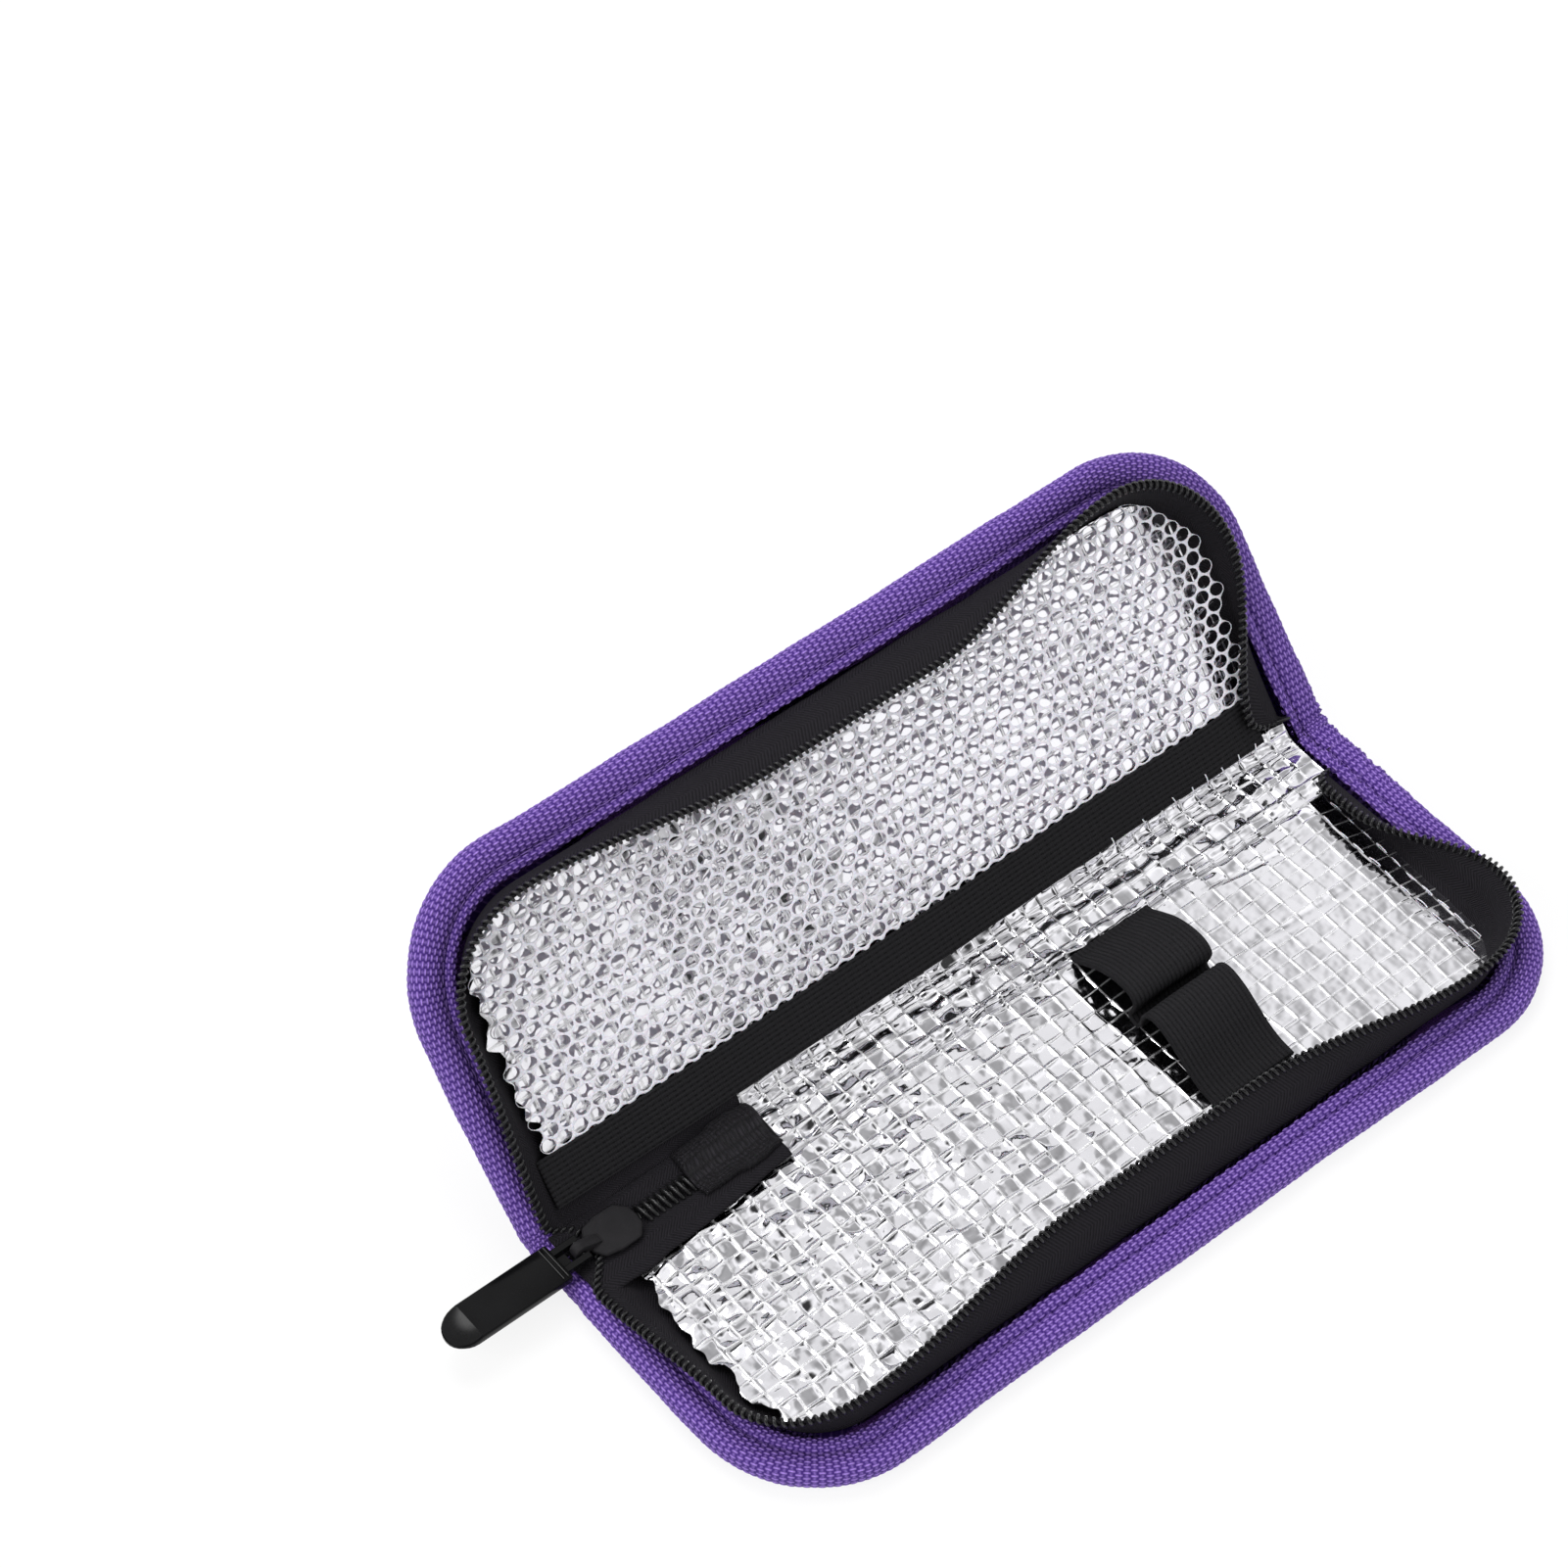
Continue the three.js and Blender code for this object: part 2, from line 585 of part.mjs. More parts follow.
addPiece(baseGroup, "base_cover", panelCover(BASE), COVER_CLOTH);
addPiece(baseGroup, "base_foam", panelFoam(BASE, BASE_PAD_START), FOAM);
addPiece(baseGroup, "base_lining", panelLining(BASE, BASE_PAD_START), FOIL);
addPiece(baseGroup, "base_binding", panelBinding(BASE, BASE_BINDING_START), BINDING_WEBBING);
addPiece(baseGroup, "base_zip_tape", panelTape(BASE, BASE_TAPE_START), TAPE);
addPiece(baseGroup, "base_zip_coil", panelCoil(BASE, BASE_TAPE_START), COIL);
const strap = addPiece(baseGroup, "pen_strap", strapGeometry(), ELASTIC);
strap.position.set(STRAP_LEFT, STRAP_START, LINING_TOP + FIT_GAP);

addPiece(spineGroup, "spine_cover", spineCover(), COVER_CLOTH);
addPiece(spineGroup, "spine_foam", spineLayer(FOAM_BOTTOM, FOAM_TOP), FOAM);
addPiece(spineGroup, "spine_lining", spineLayer(LINING_BOTTOM, LINING_TOP), FOIL);
addPiece(spineGroup, "spine_binding_left", spineBinding(-1), BINDING_WEBBING);
addPiece(spineGroup, "spine_binding_right", spineBinding(1), BINDING_WEBBING);
addPiece(spineGroup, "zip_closed_tail", tailGeometry(), COIL);
addPiece(spineGroup, "zip_end_tab", tabGeometry(), TAPE);

addPiece(lidSheet, "lid_cover", panelCover(LID), COVER_CLOTH);
addPiece(lidSheet, "lid_foam", panelFoam(LID, LID_PAD_START), FOAM);
addPiece(lidSheet, "lid_lining", panelLining(LID, LID_PAD_START), FOIL);
addPiece(lidSheet, "lid_binding", panelBinding(LID, LID_BINDING_START), BINDING_WEBBING);
addPiece(lidSheet, "lid_zip_tape", panelTape(LID, LID_TAPE_START), TAPE);
addPiece(lidSheet, "lid_zip_coil", panelCoil(LID, LID_TAPE_START), COIL);
addPiece(lidSheet, "pocket_net", netGeometry(), NET);
addPiece(lidSheet, "pocket_elastic", elasticGeometry(), ELASTIC);

addPiece(insulinCase, "zip_slider", sliderGeometry(), SLIDER_PAINT);
addPiece(insulinCase, "pull_tab", pullGeometry(), PULL_ENAMEL);

export default insulinCase;
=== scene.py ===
import json
import math
from collections import namedtuple

import bmesh
import bpy
import numpy as np
from bpy.props import FloatProperty, FloatVectorProperty, PointerProperty
from bpy.types import Operator, Panel, PropertyGroup
from mathutils import Matrix, Vector


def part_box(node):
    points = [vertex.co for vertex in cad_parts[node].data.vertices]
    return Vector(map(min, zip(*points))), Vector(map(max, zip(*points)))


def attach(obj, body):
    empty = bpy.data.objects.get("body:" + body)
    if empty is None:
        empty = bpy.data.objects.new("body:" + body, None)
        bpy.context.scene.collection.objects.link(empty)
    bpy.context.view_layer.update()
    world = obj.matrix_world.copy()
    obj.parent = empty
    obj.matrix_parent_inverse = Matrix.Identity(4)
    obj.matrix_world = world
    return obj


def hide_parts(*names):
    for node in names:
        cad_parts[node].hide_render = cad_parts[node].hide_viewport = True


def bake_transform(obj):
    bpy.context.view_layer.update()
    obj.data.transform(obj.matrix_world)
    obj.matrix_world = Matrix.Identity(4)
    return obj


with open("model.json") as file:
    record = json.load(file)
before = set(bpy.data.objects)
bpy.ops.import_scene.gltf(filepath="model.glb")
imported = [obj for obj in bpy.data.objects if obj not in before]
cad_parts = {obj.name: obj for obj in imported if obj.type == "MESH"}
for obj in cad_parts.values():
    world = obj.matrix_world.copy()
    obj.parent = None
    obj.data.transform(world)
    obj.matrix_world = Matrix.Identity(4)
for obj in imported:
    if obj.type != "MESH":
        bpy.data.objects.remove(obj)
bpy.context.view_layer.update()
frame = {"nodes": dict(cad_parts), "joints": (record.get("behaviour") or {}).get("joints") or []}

bl_info = {
    "name": "Insulated pen case",
    "version": (1, 0, 0),
    "blender": (4, 5, 0),
    "location": "3D View > Sidebar > Pen case",
    "description": "Dresses a folding zip case for insulin pens: cloth, foil, webbing, zip, elastic and net",
    "category": "Mesh",
}

# Shapes are worked out in millimetres and written to the meshes in metres
MM = 0.001

# The folded sheet, from the frame
JOINTS = {joint["name"]: joint for joint in frame["joints"]}
FOLD_HEIGHT = JOINTS["spine_fold"]["pos_m"][2] / MM
SPINE_FOLD = JOINTS["spine_fold"]["pos_m"][1] / MM
LID_FOLD = JOINTS["lid_fold"]["pos_m"][1] / MM
PIN_X, ZIP_Y, PIN_Z = (value / MM for value in JOINTS["puller_hinge"]["pos_m"])
SPINE_WIDTH = LID_FOLD - SPINE_FOLD
MID_SPINE = SPINE_WIDTH / 2
LID_TILT = -math.radians(JOINTS["lid_fold"]["range_deg"][0])
FOLD_REACH = 3.0  # half the width of the rounded lid fold
HALF_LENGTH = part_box("base_binding")[1].x / MM
LINING_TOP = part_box("base_lining")[1].z / MM


def lid_reach(node_name):
    """How far a node reaches from the lid fold along the lid."""
    uphill = Vector((0, math.cos(LID_TILT), math.sin(LID_TILT)))
    fold = Vector(JOINTS["lid_fold"]["pos_m"])
    return max((v.co - fold).dot(uphill) for v in frame["nodes"][node_name].data.vertices) / MM


# lean: how far the zip tape's edge leans inwards, from the left fold round to the right one
CasePanel = namedtuple("CasePanel", "name depth corner lean")
BASE = CasePanel(
    "base", SPINE_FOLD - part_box("base_binding")[0].y / MM, 26.0, (-5.4, -3.4, 1.0, 7.5, -0.4, -5.1, 5.6))
LID = CasePanel("lid", lid_reach("lid_binding"), 28.5, (-4.9, -2.9, 0.9, 7.3, -3.1, -1.7, 10.0))


def length(label, text, value):
    """A length in millimetres that a user may change."""
    return FloatProperty(name=label, description=text, default=value * MM, unit="LENGTH")


def colour(label, text, value):
    """A colour that a user may change."""
    return FloatVectorProperty(
        name=label, description=text, default=value, subtype="COLOR", min=0, max=1)


class CaseSizes(PropertyGroup):
    """Sizes of the weaves, threads and wires"""

    scrim_along: length("Scrim along", "Foil thread spacing along the case", 4.1)
    scrim_across: length("Scrim across", "Foil thread spacing across the case", 3.75)
    scrim_height: length("Scrim height", "How far a foil thread stands up", 0.3)
    webbing_brick: length("Webbing brick", "Length of one float of the binding's yarn", 1.45)
    webbing_row: length("Webbing row", "Width of one row of the binding's yarn", 0.53)
    coil_pitch: length("Coil pitch", "Spacing of the zip's teeth", 1.5)
    coil_wire: length("Coil wire", "Radius of the zip's nylon wire", 0.36)
    net_pitch: length("Net pitch", "Spacing of the net's holes along the case", 3.75)
    net_row: length("Net row", "Spacing of the net's rows", 2.6)
    net_strand: length("Net strand", "Width of a strand between two holes", 0.32)
    rib_pitch: length("Rib pitch", "Spacing of the elastic's ribs", 1.0)
    stitch_pitch: length("Stitch pitch", "Spacing of the binding's stitches", 3.1)


class CaseColours(PropertyGroup):
    """Colours of the cloths, threads and metals"""

    # The outer cloth's yarn in two tones: lit where it is raised, with painted shade where it is sunk
    cover: colour("Cover", "Raised yarn of the outer cloth", (0.15, 0.055, 0.31))
    cover_painted_shade: colour("Cover shade", "Sunk yarn of the outer cloth", (0.055, 0.018, 0.14))
    # The binding's yarn in two tones: lit where it is raised, with painted shade where it is sunk
    webbing: colour("Webbing", "Raised yarn of the binding", (0.36, 0.22, 0.68))
    webbing_painted_shade: colour("Webbing shade", "Sunk yarn of the binding", (0.045, 0.016, 0.16))
    foil: colour("Foil", "Metallised film", (0.9, 0.895, 0.935))
    foam: colour("Foam", "Insulation foam", (0.78, 0.78, 0.74))
    tape: colour("Tape", "Zip tape", (0.0105, 0.0097, 0.0118))
    coil: colour("Coil", "Nylon of the zip's coil", (0.0065, 0.0065, 0.007))
    elastic: colour("Elastic", "Elastic straps", (0.0095, 0.0093, 0.0103))
    net: colour("Net", "Knitted net", (0.79, 0.78, 0.85))
    slider: colour("Slider", "Paint of the zip slider", (0.0125, 0.012, 0.0132))
    puller: colour("Puller", "Enamel of the puller", (0.003, 0.003, 0.0033))


def size(key):
    """A size as the user has it, in millimetres."""
    return getattr(bpy.context.scene.pen_case_sizes, key) / MM


def shade(key, factor=1.0):
    """A colour as the user has it, made lighter or darker."""
    return tuple(factor * value for value in getattr(bpy.context.scene.pen_case_colours, key))


# Curves and fields


def smooth(share):
    return share * share * (3 - 2 * share)


def ramp(value):
    """A smooth step from 0 to 1."""
    return smooth(np.clip(value, 0, 1))


def bell(off, width):
    """A bell curve over the distance from its middle."""
    return np.exp(-((off / width) ** 2))


def eased(at, places, values):
    """Values at the given places, with a smooth step from each to the next."""
    places, values = np.array(places, float), np.array(values, float)
    k = np.clip(np.searchsorted(places, at, side="right") - 1, 0, len(places) - 2)
    return values[k] + (values[k + 1] - values[k]) * ramp((at - places[k]) / (places[k + 1] - places[k]))


FIELD_SIZE = 128


def random_table(seed):
    return np.random.default_rng(seed).uniform(-1, 1, (FIELD_SIZE, FIELD_SIZE))


def cell_values(i, j, seed):
    """One random value between -1 and 1 for each cell of a grid."""
    return random_table(seed)[i % FIELD_SIZE, j % FIELD_SIZE]


def field(x, y, scale, seed):
    """Smooth random field between -1 and 1."""
    table = random_table(seed)
    across, up = np.asarray(x) / scale, np.asarray(y) / scale
    i, j = np.floor(across).astype(int), np.floor(up).astype(int)
    a, b = smooth(across - i), smooth(up - j)
    i, j, i1, j1 = (k % FIELD_SIZE for k in (i, j, i + 1, j + 1))
    low = table[i, j] * (1 - a) + table[i1, j] * a
    high = table[i, j1] * (1 - a) + table[i1, j1] * a
    return low * (1 - b) + high * b


# What is uneven on the case: how much at most, over which distance, and the seed of its field
UNEVEN = {
    "cover ripple": (0.12, 17.0, 31),
    "foil wear": (0.3, 19.0, 5),
    "foil crumple": (0.28, 9.0, 9),
    "foil dents": (0.2, 3.3, 10),
    "foil glints": (0.3, 1.5, 23),
    "foil swell": (0.3, 31.0, 11),
    "foil edge": (1.6, 2.2, 14),
    "foil drift along": (0.35, 8.0, 15),
    "foil drift across": (0.35, 8.0, 16),
    "ridge path": (0.5, 14.0, 12),
    "ridge height": (0.5, 7.0, 13),
    "crease path": (0.25, 5.0, 17),
    "crease shade": (0.6, 3.0, 18),
    "thread sway": (0.5, 4.0, 17),
    "binding sway": (0.35, 26.0, 22),
    "tape pucker": (0.25, 7.0, 41),
    "tail pucker": (0.2, 5.0, 43),
    "tail edge": (0.3, 5.0, 44),
    "patch edge": (0.5, 2.5, 45),
    "patch pucker": (0.2, 6.0, 46),
    "tab lumps": (0.25, 2.6, 51),
    "tab width": (0.6, 3.2, 52),
    "tab ends": (0.5, 2.4, 53),
    "strap waves": (0.12, 8.0, 61),
    "hem path": (0.3, 24.0, 71),
    "hem waves": (0.18, 12.0, 72),
    "net waves": (0.35, 11.0, 81),
    "net drift along": (0.25, 6.0, 82),
    "net drift across": (0.25, 6.0, 83),
}


def uneven(what, x, y=None):
    """A smooth random amount at each point; without y it varies along x alone."""
    amount, scale, seed = UNEVEN[what]
    return amount * field(x, np.zeros_like(x) if y is None else y, scale, seed)


def unit(vectors):
    return vectors / np.linalg.norm(vectors, axis=1)[:, None]


def lengths_along(line):
    """Length from the start of a line to each of its points."""
    return np.concatenate([[0], np.cumsum(np.linalg.norm(np.diff(line, axis=0), axis=1))])


def side_of(line):
    """Unit directions square to a flat line of points."""
    tangent = np.gradient(line, axis=0)
    return unit(np.stack([tangent[:, 1], -tangent[:, 0]], 1))


def spaced(start, stop, step):
    return np.linspace(start, stop, max(2, round(abs(stop - start) / step) + 1))


SPLINE_STEPS = 16


def curve_through(points, spacing):
    """Points at an even spacing on a smooth curve through the given points."""
    p = np.array(points, float)
    ends = np.vstack([2 * p[0] - p[1], p, 2 * p[-1] - p[-2]])
    h = np.linspace(0, 1, SPLINE_STEPS, endpoint=False)[:, None]
    pieces = []
    for a, b, c, d in zip(ends, ends[1:], ends[2:], ends[3:]):
        square = (2 * a - 5 * b + 4 * c - d) * h**2
        pieces.append((2 * b + (c - a) * h + square + (3 * b - a - 3 * c + d) * h**3) / 2)
    line = np.vstack([*pieces, p[-1:]])
    at = lengths_along(line)
    even = spaced(0, at[-1], spacing)
    return np.stack([np.interp(even, at, column) for column in line.T], 1)


# The folded sheet: x along the case, t across it from the spine fold with the
# base at negative t, n above the sheet's outer face; u runs from a panel's fold


def on_sheet(x, t, n):
    radius = FOLD_REACH / math.tan(LID_TILT / 2)
    start = SPINE_WIDTH - FOLD_REACH
    turn = np.clip((t - start) / (2 * FOLD_REACH), 0, 1) * LID_TILT
    past = np.clip(t - SPINE_WIDTH - FOLD_REACH, 0, None)
    y = SPINE_FOLD + np.minimum(t, start) + radius * np.sin(turn) + past * np.cos(turn)
    z = FOLD_HEIGHT + radius * (1 - np.cos(turn)) + past * np.sin(turn)
    rise = n - FOLD_HEIGHT
    x = np.broadcast_to(x, y.shape)
    return np.stack([x, y - rise * np.sin(turn), z + rise * np.cos(turn)], 1)


def across_sheet(panel, u):
    return -u if panel is BASE else SPINE_WIDTH + u


def from_fold(panel, t):
    return -t if panel is BASE else t - SPINE_WIDTH


def edge_runs(panel):
    """Lengths of a panel's straight ends, of its corners and of its free edge."""
    return panel.depth - panel.corner, panel.corner * math.pi / 2, 2 * (HALF_LENGTH - panel.corner)


def edge_length(panel):
    straight, arc, free = edge_runs(panel)
    return 2 * straight + 2 * arc + free


def edge_path(panel, s):
    """Outer edge at lengths s from the left fold: x, u and the direction inwards."""
    straight, arc, free = edge_runs(panel)
    first = np.clip((s - straight) / arc, 0, 1) * math.pi / 2
    second = np.clip((s - straight - arc - free) / arc, 0, 1) * math.pi / 2
    x = panel.corner * (1 - np.cos(first) + np.sin(second)) - HALF_LENGTH
    x = x + np.clip(s - straight - arc, 0, free)
    u = np.minimum(s, straight) + panel.corner * (np.sin(first) + np.cos(second) - 1)
    u = u - np.clip(s - straight - 2 * arc - free, 0, None)
    turn = first + second
    return x, u, np.cos(turn), -np.sin(turn)


def by_edge(panel, s, inset, n):
    """Points at an inset from a panel's outer edge and a height n."""
    x, u, in_x, in_u = edge_path(panel, s)
    return on_sheet(x + in_x * inset, across_sheet(panel, u + in_u * inset), n)


def half_at(panel, u, inset):
    """Half the length of a panel at a distance u from its fold, inside an inset."""
    radius = panel.corner - inset
    over = np.clip(u - (panel.depth - panel.corner), 0, radius)
    return HALF_LENGTH - panel.corner + np.sqrt(radius**2 - over**2)


def edge_share(panel, x, t, inset, width):
    """0 at a panel's edge and 1 from the given width inwards."""
    u = np.clip(from_fold(panel, t), 0, None)
    ends = half_at(panel, u, inset) - np.abs(x)
    return ramp(np.minimum(ends, panel.depth - inset - u) / width)


def panel_span(panel, inset):
    """Sheet coordinates of a panel from the middle of the spine to its free edge."""
    return sorted((MID_SPINE, across_sheet(panel, panel.depth - inset)))


# Meshes

# Runs from one body to another, each a little wider than its fold
BASE_TO_SPINE = ("base", "spine", (0, (SPINE_FOLD - 3.5) * MM, 0), (0, (SPINE_FOLD + 3.5) * MM, 0))
TAIL_FOLD = ("base", "spine", (0, (SPINE_FOLD - 6.5) * MM, 0), (0, (SPINE_FOLD + 0.5) * MM, 0))
LID_SIDE = on_sheet(0.0, np.array([SPINE_WIDTH + 4.0]), FOLD_HEIGHT)[0] * MM
SPINE_TO_LID = ("spine", "lid", (0, (LID_FOLD - 4) * MM, FOLD_HEIGHT * MM), tuple(LID_SIDE))

# Each piece's look, material slot, body or run between two, and the CAD nodes that it stands for
CUT_LIST = {
    "outer_cloth_base": ("cover_cloth", "cover_cloth", BASE_TO_SPINE, ("base_cover", "spine_cover")),
    "outer_cloth_lid": ("cover_cloth", "cover_cloth", SPINE_TO_LID, ("lid_cover",)),
    "foam_base": ("insulation_foam", "insulation_foam", "base", ("base_foam",)),
    "foam_lid": ("insulation_foam", "insulation_foam", "lid", ("lid_foam",)),
    "foam_spine": ("insulation_foam", "insulation_foam", "spine", ("spine_foam",)),
    "foil_base": ("foil_film", "foil_lining", BASE_TO_SPINE, ("base_lining", "spine_lining")),
    "foil_lid": ("foil_film", "foil_lining", SPINE_TO_LID, ("lid_lining",)),
    "foil_threads_base": ("net_yarn", "pocket_net", BASE_TO_SPINE, ()),
    "foil_threads_lid": ("net_yarn", "pocket_net", SPINE_TO_LID, ()),
    "binding_base": (
        "binding_webbing", "binding_webbing", BASE_TO_SPINE, ("base_binding", "spine_binding_left")),
    "binding_lid": (
        "binding_webbing", "binding_webbing", SPINE_TO_LID, ("lid_binding", "spine_binding_right")),
    "stitches_base": ("binding_webbing", "binding_webbing", BASE_TO_SPINE, ()),
    "stitches_lid": ("binding_webbing", "binding_webbing", SPINE_TO_LID, ()),
    "zip_tape_base": ("zip_tape", "zip_tape", BASE_TO_SPINE, ("base_zip_tape",)),
    "zip_tape_lid": ("zip_tape", "zip_tape", SPINE_TO_LID, ("lid_zip_tape",)),
    "zip_coil_base": ("coil_nylon", "zip_coil", BASE_TO_SPINE, ("base_zip_coil",)),
    "zip_coil_lid": ("coil_nylon", "zip_coil", SPINE_TO_LID, ("lid_zip_coil",)),
    "zip_tail_coils": ("coil_nylon", "zip_coil", "spine", ("zip_closed_tail",)),
    "zip_tail_tape": ("zip_tape", "zip_tape", TAIL_FOLD, ()),
    "zip_corner_patch": ("zip_tape", "zip_tape", SPINE_TO_LID, ()),
    "zip_end_tab_cloth": ("tab_weave", "zip_tape", SPINE_TO_LID, ("zip_end_tab",)),
    "zip_slider_body": ("slider_paint", "slider_paint", "slider", ("zip_slider",)),
    "puller_tab": ("puller_enamel", "puller_enamel", "puller", ("pull_tab",)),
    "pen_loops": ("elastic_rib", "elastic_webbing", BASE_TO_SPINE, ("pen_strap",)),
    "pocket_hem": ("elastic_rib", "elastic_webbing", "lid", ("pocket_elastic",)),
    "pocket_mesh": ("net_yarn", "pocket_net", "lid", ("pocket_net",)),
}


def mesh_from(bm, name):
    """Turns a bmesh into a mesh of the given name."""
    mesh = bpy.data.meshes.new(name)
    bm.to_mesh(mesh)
    bm.free()
    return mesh


def finish_piece(mesh, thickness=0.0, offset=0):
    """Links a mesh as the piece of its name, as the cut list says."""
    material, slot, body, replaced = CUT_LIST[mesh.name]
    mesh.shade_smooth()
    mesh.materials.append(look(material))
    piece = bpy.data.objects.new(mesh.name, mesh)
    bpy.context.scene.collection.objects.link(piece)
    if isinstance(body, str):
        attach(piece, body)
    else:
        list(body)
        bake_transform(piece)
    if replaced:
        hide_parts(*replaced)
    if thickness:
        modifier = piece.modifiers.new("Thickness", "SOLIDIFY")
        modifier.thickness = thickness * MM
        modifier.offset = offset
    return piece


def mapped_grid(name, along, across, place, surface=None, keep=None, flip=False, masks=None):
    """A grid mesh whose points are placed by a function of its two coordinates.

    Its UV map holds those coordinates in millimetres, or what surface gives.
    keep tells which points belong to the piece: faces with none are removed.
    masks are named values of the points that the material reads.
    """
    bm = bmesh.new()
    bmesh.ops.create_grid(bm, x_segments=len(along) - 1, y_segments=len(across) - 1, size=1)
    mesh = mesh_from(bm, name)
    co = np.empty(len(mesh.vertices) * 3, np.float32)
    mesh.vertices.foreach_get("co", co)
    share = (co.reshape(-1, 3)[:, :2] + 1) / 2
    s = along[np.rint(share[:, 0] * (len(along) - 1)).astype(int)]
    w = across[np.rint(share[:, 1] * (len(across) - 1)).astype(int)]
    mesh.vertices.foreach_set("co", (place(s, w) * MM).astype(np.float32).ravel())
    corners = np.empty(len(mesh.loops), np.int32)
    mesh.loops.foreach_get("vertex_index", corners)
    uv = np.stack(surface(s, w) if surface else (s, w), 1)[corners]
    layer = mesh.uv_layers.new(name="surface")
    layer.uv.foreach_set("vector", uv.astype(np.float32).ravel())
    for label, mask in (masks or {}).items():
        values = mesh.attributes.new(label, "FLOAT", "POINT")
        values.data.foreach_set("value", mask(s, w).astype(np.float32))
    if flip:
        mesh.flip_normals()
    if keep is not None:
        drop_outside(mesh, keep(s, w))
    mesh.update()
    return mesh


def drop_outside(mesh, inside):
    bm = bmesh.new()
    bm.from_mesh(mesh)
    outside = [f for f in bm.faces if not any(inside[v.index] for v in f.verts)]
    bmesh.ops.delete(bm, geom=outside, context="FACES")
    loose = [v for v in bm.verts if not v.link_faces]
    bmesh.ops.delete(bm, geom=loose, context="VERTS")
    bm.to_mesh(mesh)
    bm.free()


WELD_DISTANCE = 1e-7


def close_tube(mesh):
    """Welds the long seam of a tube, fills its ends and turns its faces outwards."""
    bm = bmesh.new()
    bm.from_mesh(mesh)
    bmesh.ops.remove_doubles(bm, verts=bm.verts, dist=WELD_DISTANCE)
    bmesh.ops.holes_fill(bm, edges=[e for e in bm.edges if e.is_boundary], sides=0)
    bmesh.ops.recalc_face_normals(bm, faces=bm.faces)
    bm.to_mesh(mesh)
    bm.free()
    mesh.update()


def wires(name, lines, radius, resolution=1):
    """Round wires along lines of points, as one mesh."""
    curve = bpy.data.curves.new(name, "CURVE")
    curve.dimensions = "3D"
    curve.bevel_depth = radius * MM
    curve.bevel_resolution = resolution
    curve.use_fill_caps = True
    for line in lines:
        spline = curve.splines.new("POLY")
        spline.points.add(len(line) - 1)
        points = np.column_stack([np.asarray(line) * MM, np.ones(len(line))])
        spline.points.foreach_set("co", points.astype(np.float32).ravel())
    holder = bpy.data.objects.new(name, curve)
    bpy.context.scene.collection.objects.link(holder)
    depsgraph = bpy.context.evaluated_depsgraph_get()
    mesh = bpy.data.meshes.new_from_object(holder.evaluated_get(depsgraph))
    bpy.data.objects.remove(holder)
    bpy.data.curves.remove(curve)
    mesh.name = name
    return mesh


def extrude_outline(bm, outline, way, bevel, segments, sharp_from):
    """Drags a flat outline along a way and rounds the edges sharper than an angle."""
    verts = [bm.verts.new([value * MM for value in point]) for point in outline]
    moved = bmesh.ops.extrude_face_region(bm, geom=[bm.faces.new(verts)])["geom"]
    far = [v for v in moved if isinstance(v, bmesh.types.BMVert)]
    bmesh.ops.translate(bm, verts=far, vec=[value * MM for value in way])
    faces = list(dict.fromkeys(f for v in (*verts, *far) for f in v.link_faces))
    bmesh.ops.recalc_face_normals(bm, faces=faces)
    if bevel:
        edges = dict.fromkeys(e for f in faces for e in f.edges)
        sharp = [e for e in edges if e.calc_face_angle(0) > math.radians(sharp_from)]
        bmesh.ops.bevel(
            bm, geom=sharp, offset=bevel * MM, affect="EDGES", segments=segments, profile=0.5,
            material=-1)


PRISM_SHARP = 50  # degrees


def prism(bm, outline, low, high, bevel=0.0, segments=3, middle=0.0):
    """A plate between two heights; its outline's y counts from the middle."""
    points = [(x, y + middle, low) for x, y in outline]
    extrude_outline(bm, points, (0, 0, high - low), bevel, segments, PRISM_SHARP)


# Shader tools


def node(tree, kind, *inputs, **settings):
    """Adds a node, sets it up, and links or sets its inputs in order."""
    made = tree.nodes.new(kind)
    for key, value in settings.items():
        setattr(made, key, value)
    for socket, value in zip(made.inputs, inputs):
        join(tree, value, socket)
    return made


def join(tree, value, socket):
    """Links a socket to another, or sets its value."""
    if isinstance(value, bpy.types.NodeSocket):
        tree.links.new(value, socket)
    elif value is not None:
        socket.default_value = value


def calc(tree, operation, *inputs):
    return node(tree, "ShaderNodeMath", *inputs, operation=operation).outputs[0]


def spread(tree, value, low, high, start=0.0, end=1.0):
    """A value that runs from start to end, stretched to run from low to high."""
    return node(tree, "ShaderNodeMapRange", value, start, end, low, high).outputs[0]


def mix_colours(tree, share, low, high, **settings):
    made = node(tree, "ShaderNodeMix", share, data_type="RGBA", **settings)
    for label, value in (("A_Color", low), ("B_Color", high)):
        socket = next(s for s in made.inputs if s.identifier == label)
        join(tree, (*value, 1) if isinstance(value, tuple) else value, socket)
    return next(s for s in made.outputs if s.identifier == "Result_Color")


def group(name, inputs, outputs):
    """An empty shader group with a vector input and named values."""
    tree = bpy.data.node_groups.new(name, "ShaderNodeTree")
    tree.interface.new_socket("Vector", in_out="INPUT", socket_type="NodeSocketVector")
    for label, value in inputs.items():
        socket = tree.interface.new_socket(label, in_out="INPUT", socket_type="NodeSocketFloat")
        socket.default_value = value
    for label in outputs:
        tree.interface.new_socket(label, in_out="OUTPUT", socket_type="NodeSocketFloat")
    enter = tree.nodes.new("NodeGroupInput")
    leave = tree.nodes.new("NodeGroupOutput")
    return tree, enter.outputs, leave.inputs


def axes_of(tree, given):
    return node(tree, "ShaderNodeSeparateXYZ", given["Vector"]).outputs


def wave(tree, kind, turns, full):
    """A sine or cosine of a number of turns."""
    return calc(tree, kind, calc(tree, "MULTIPLY", turns, full))


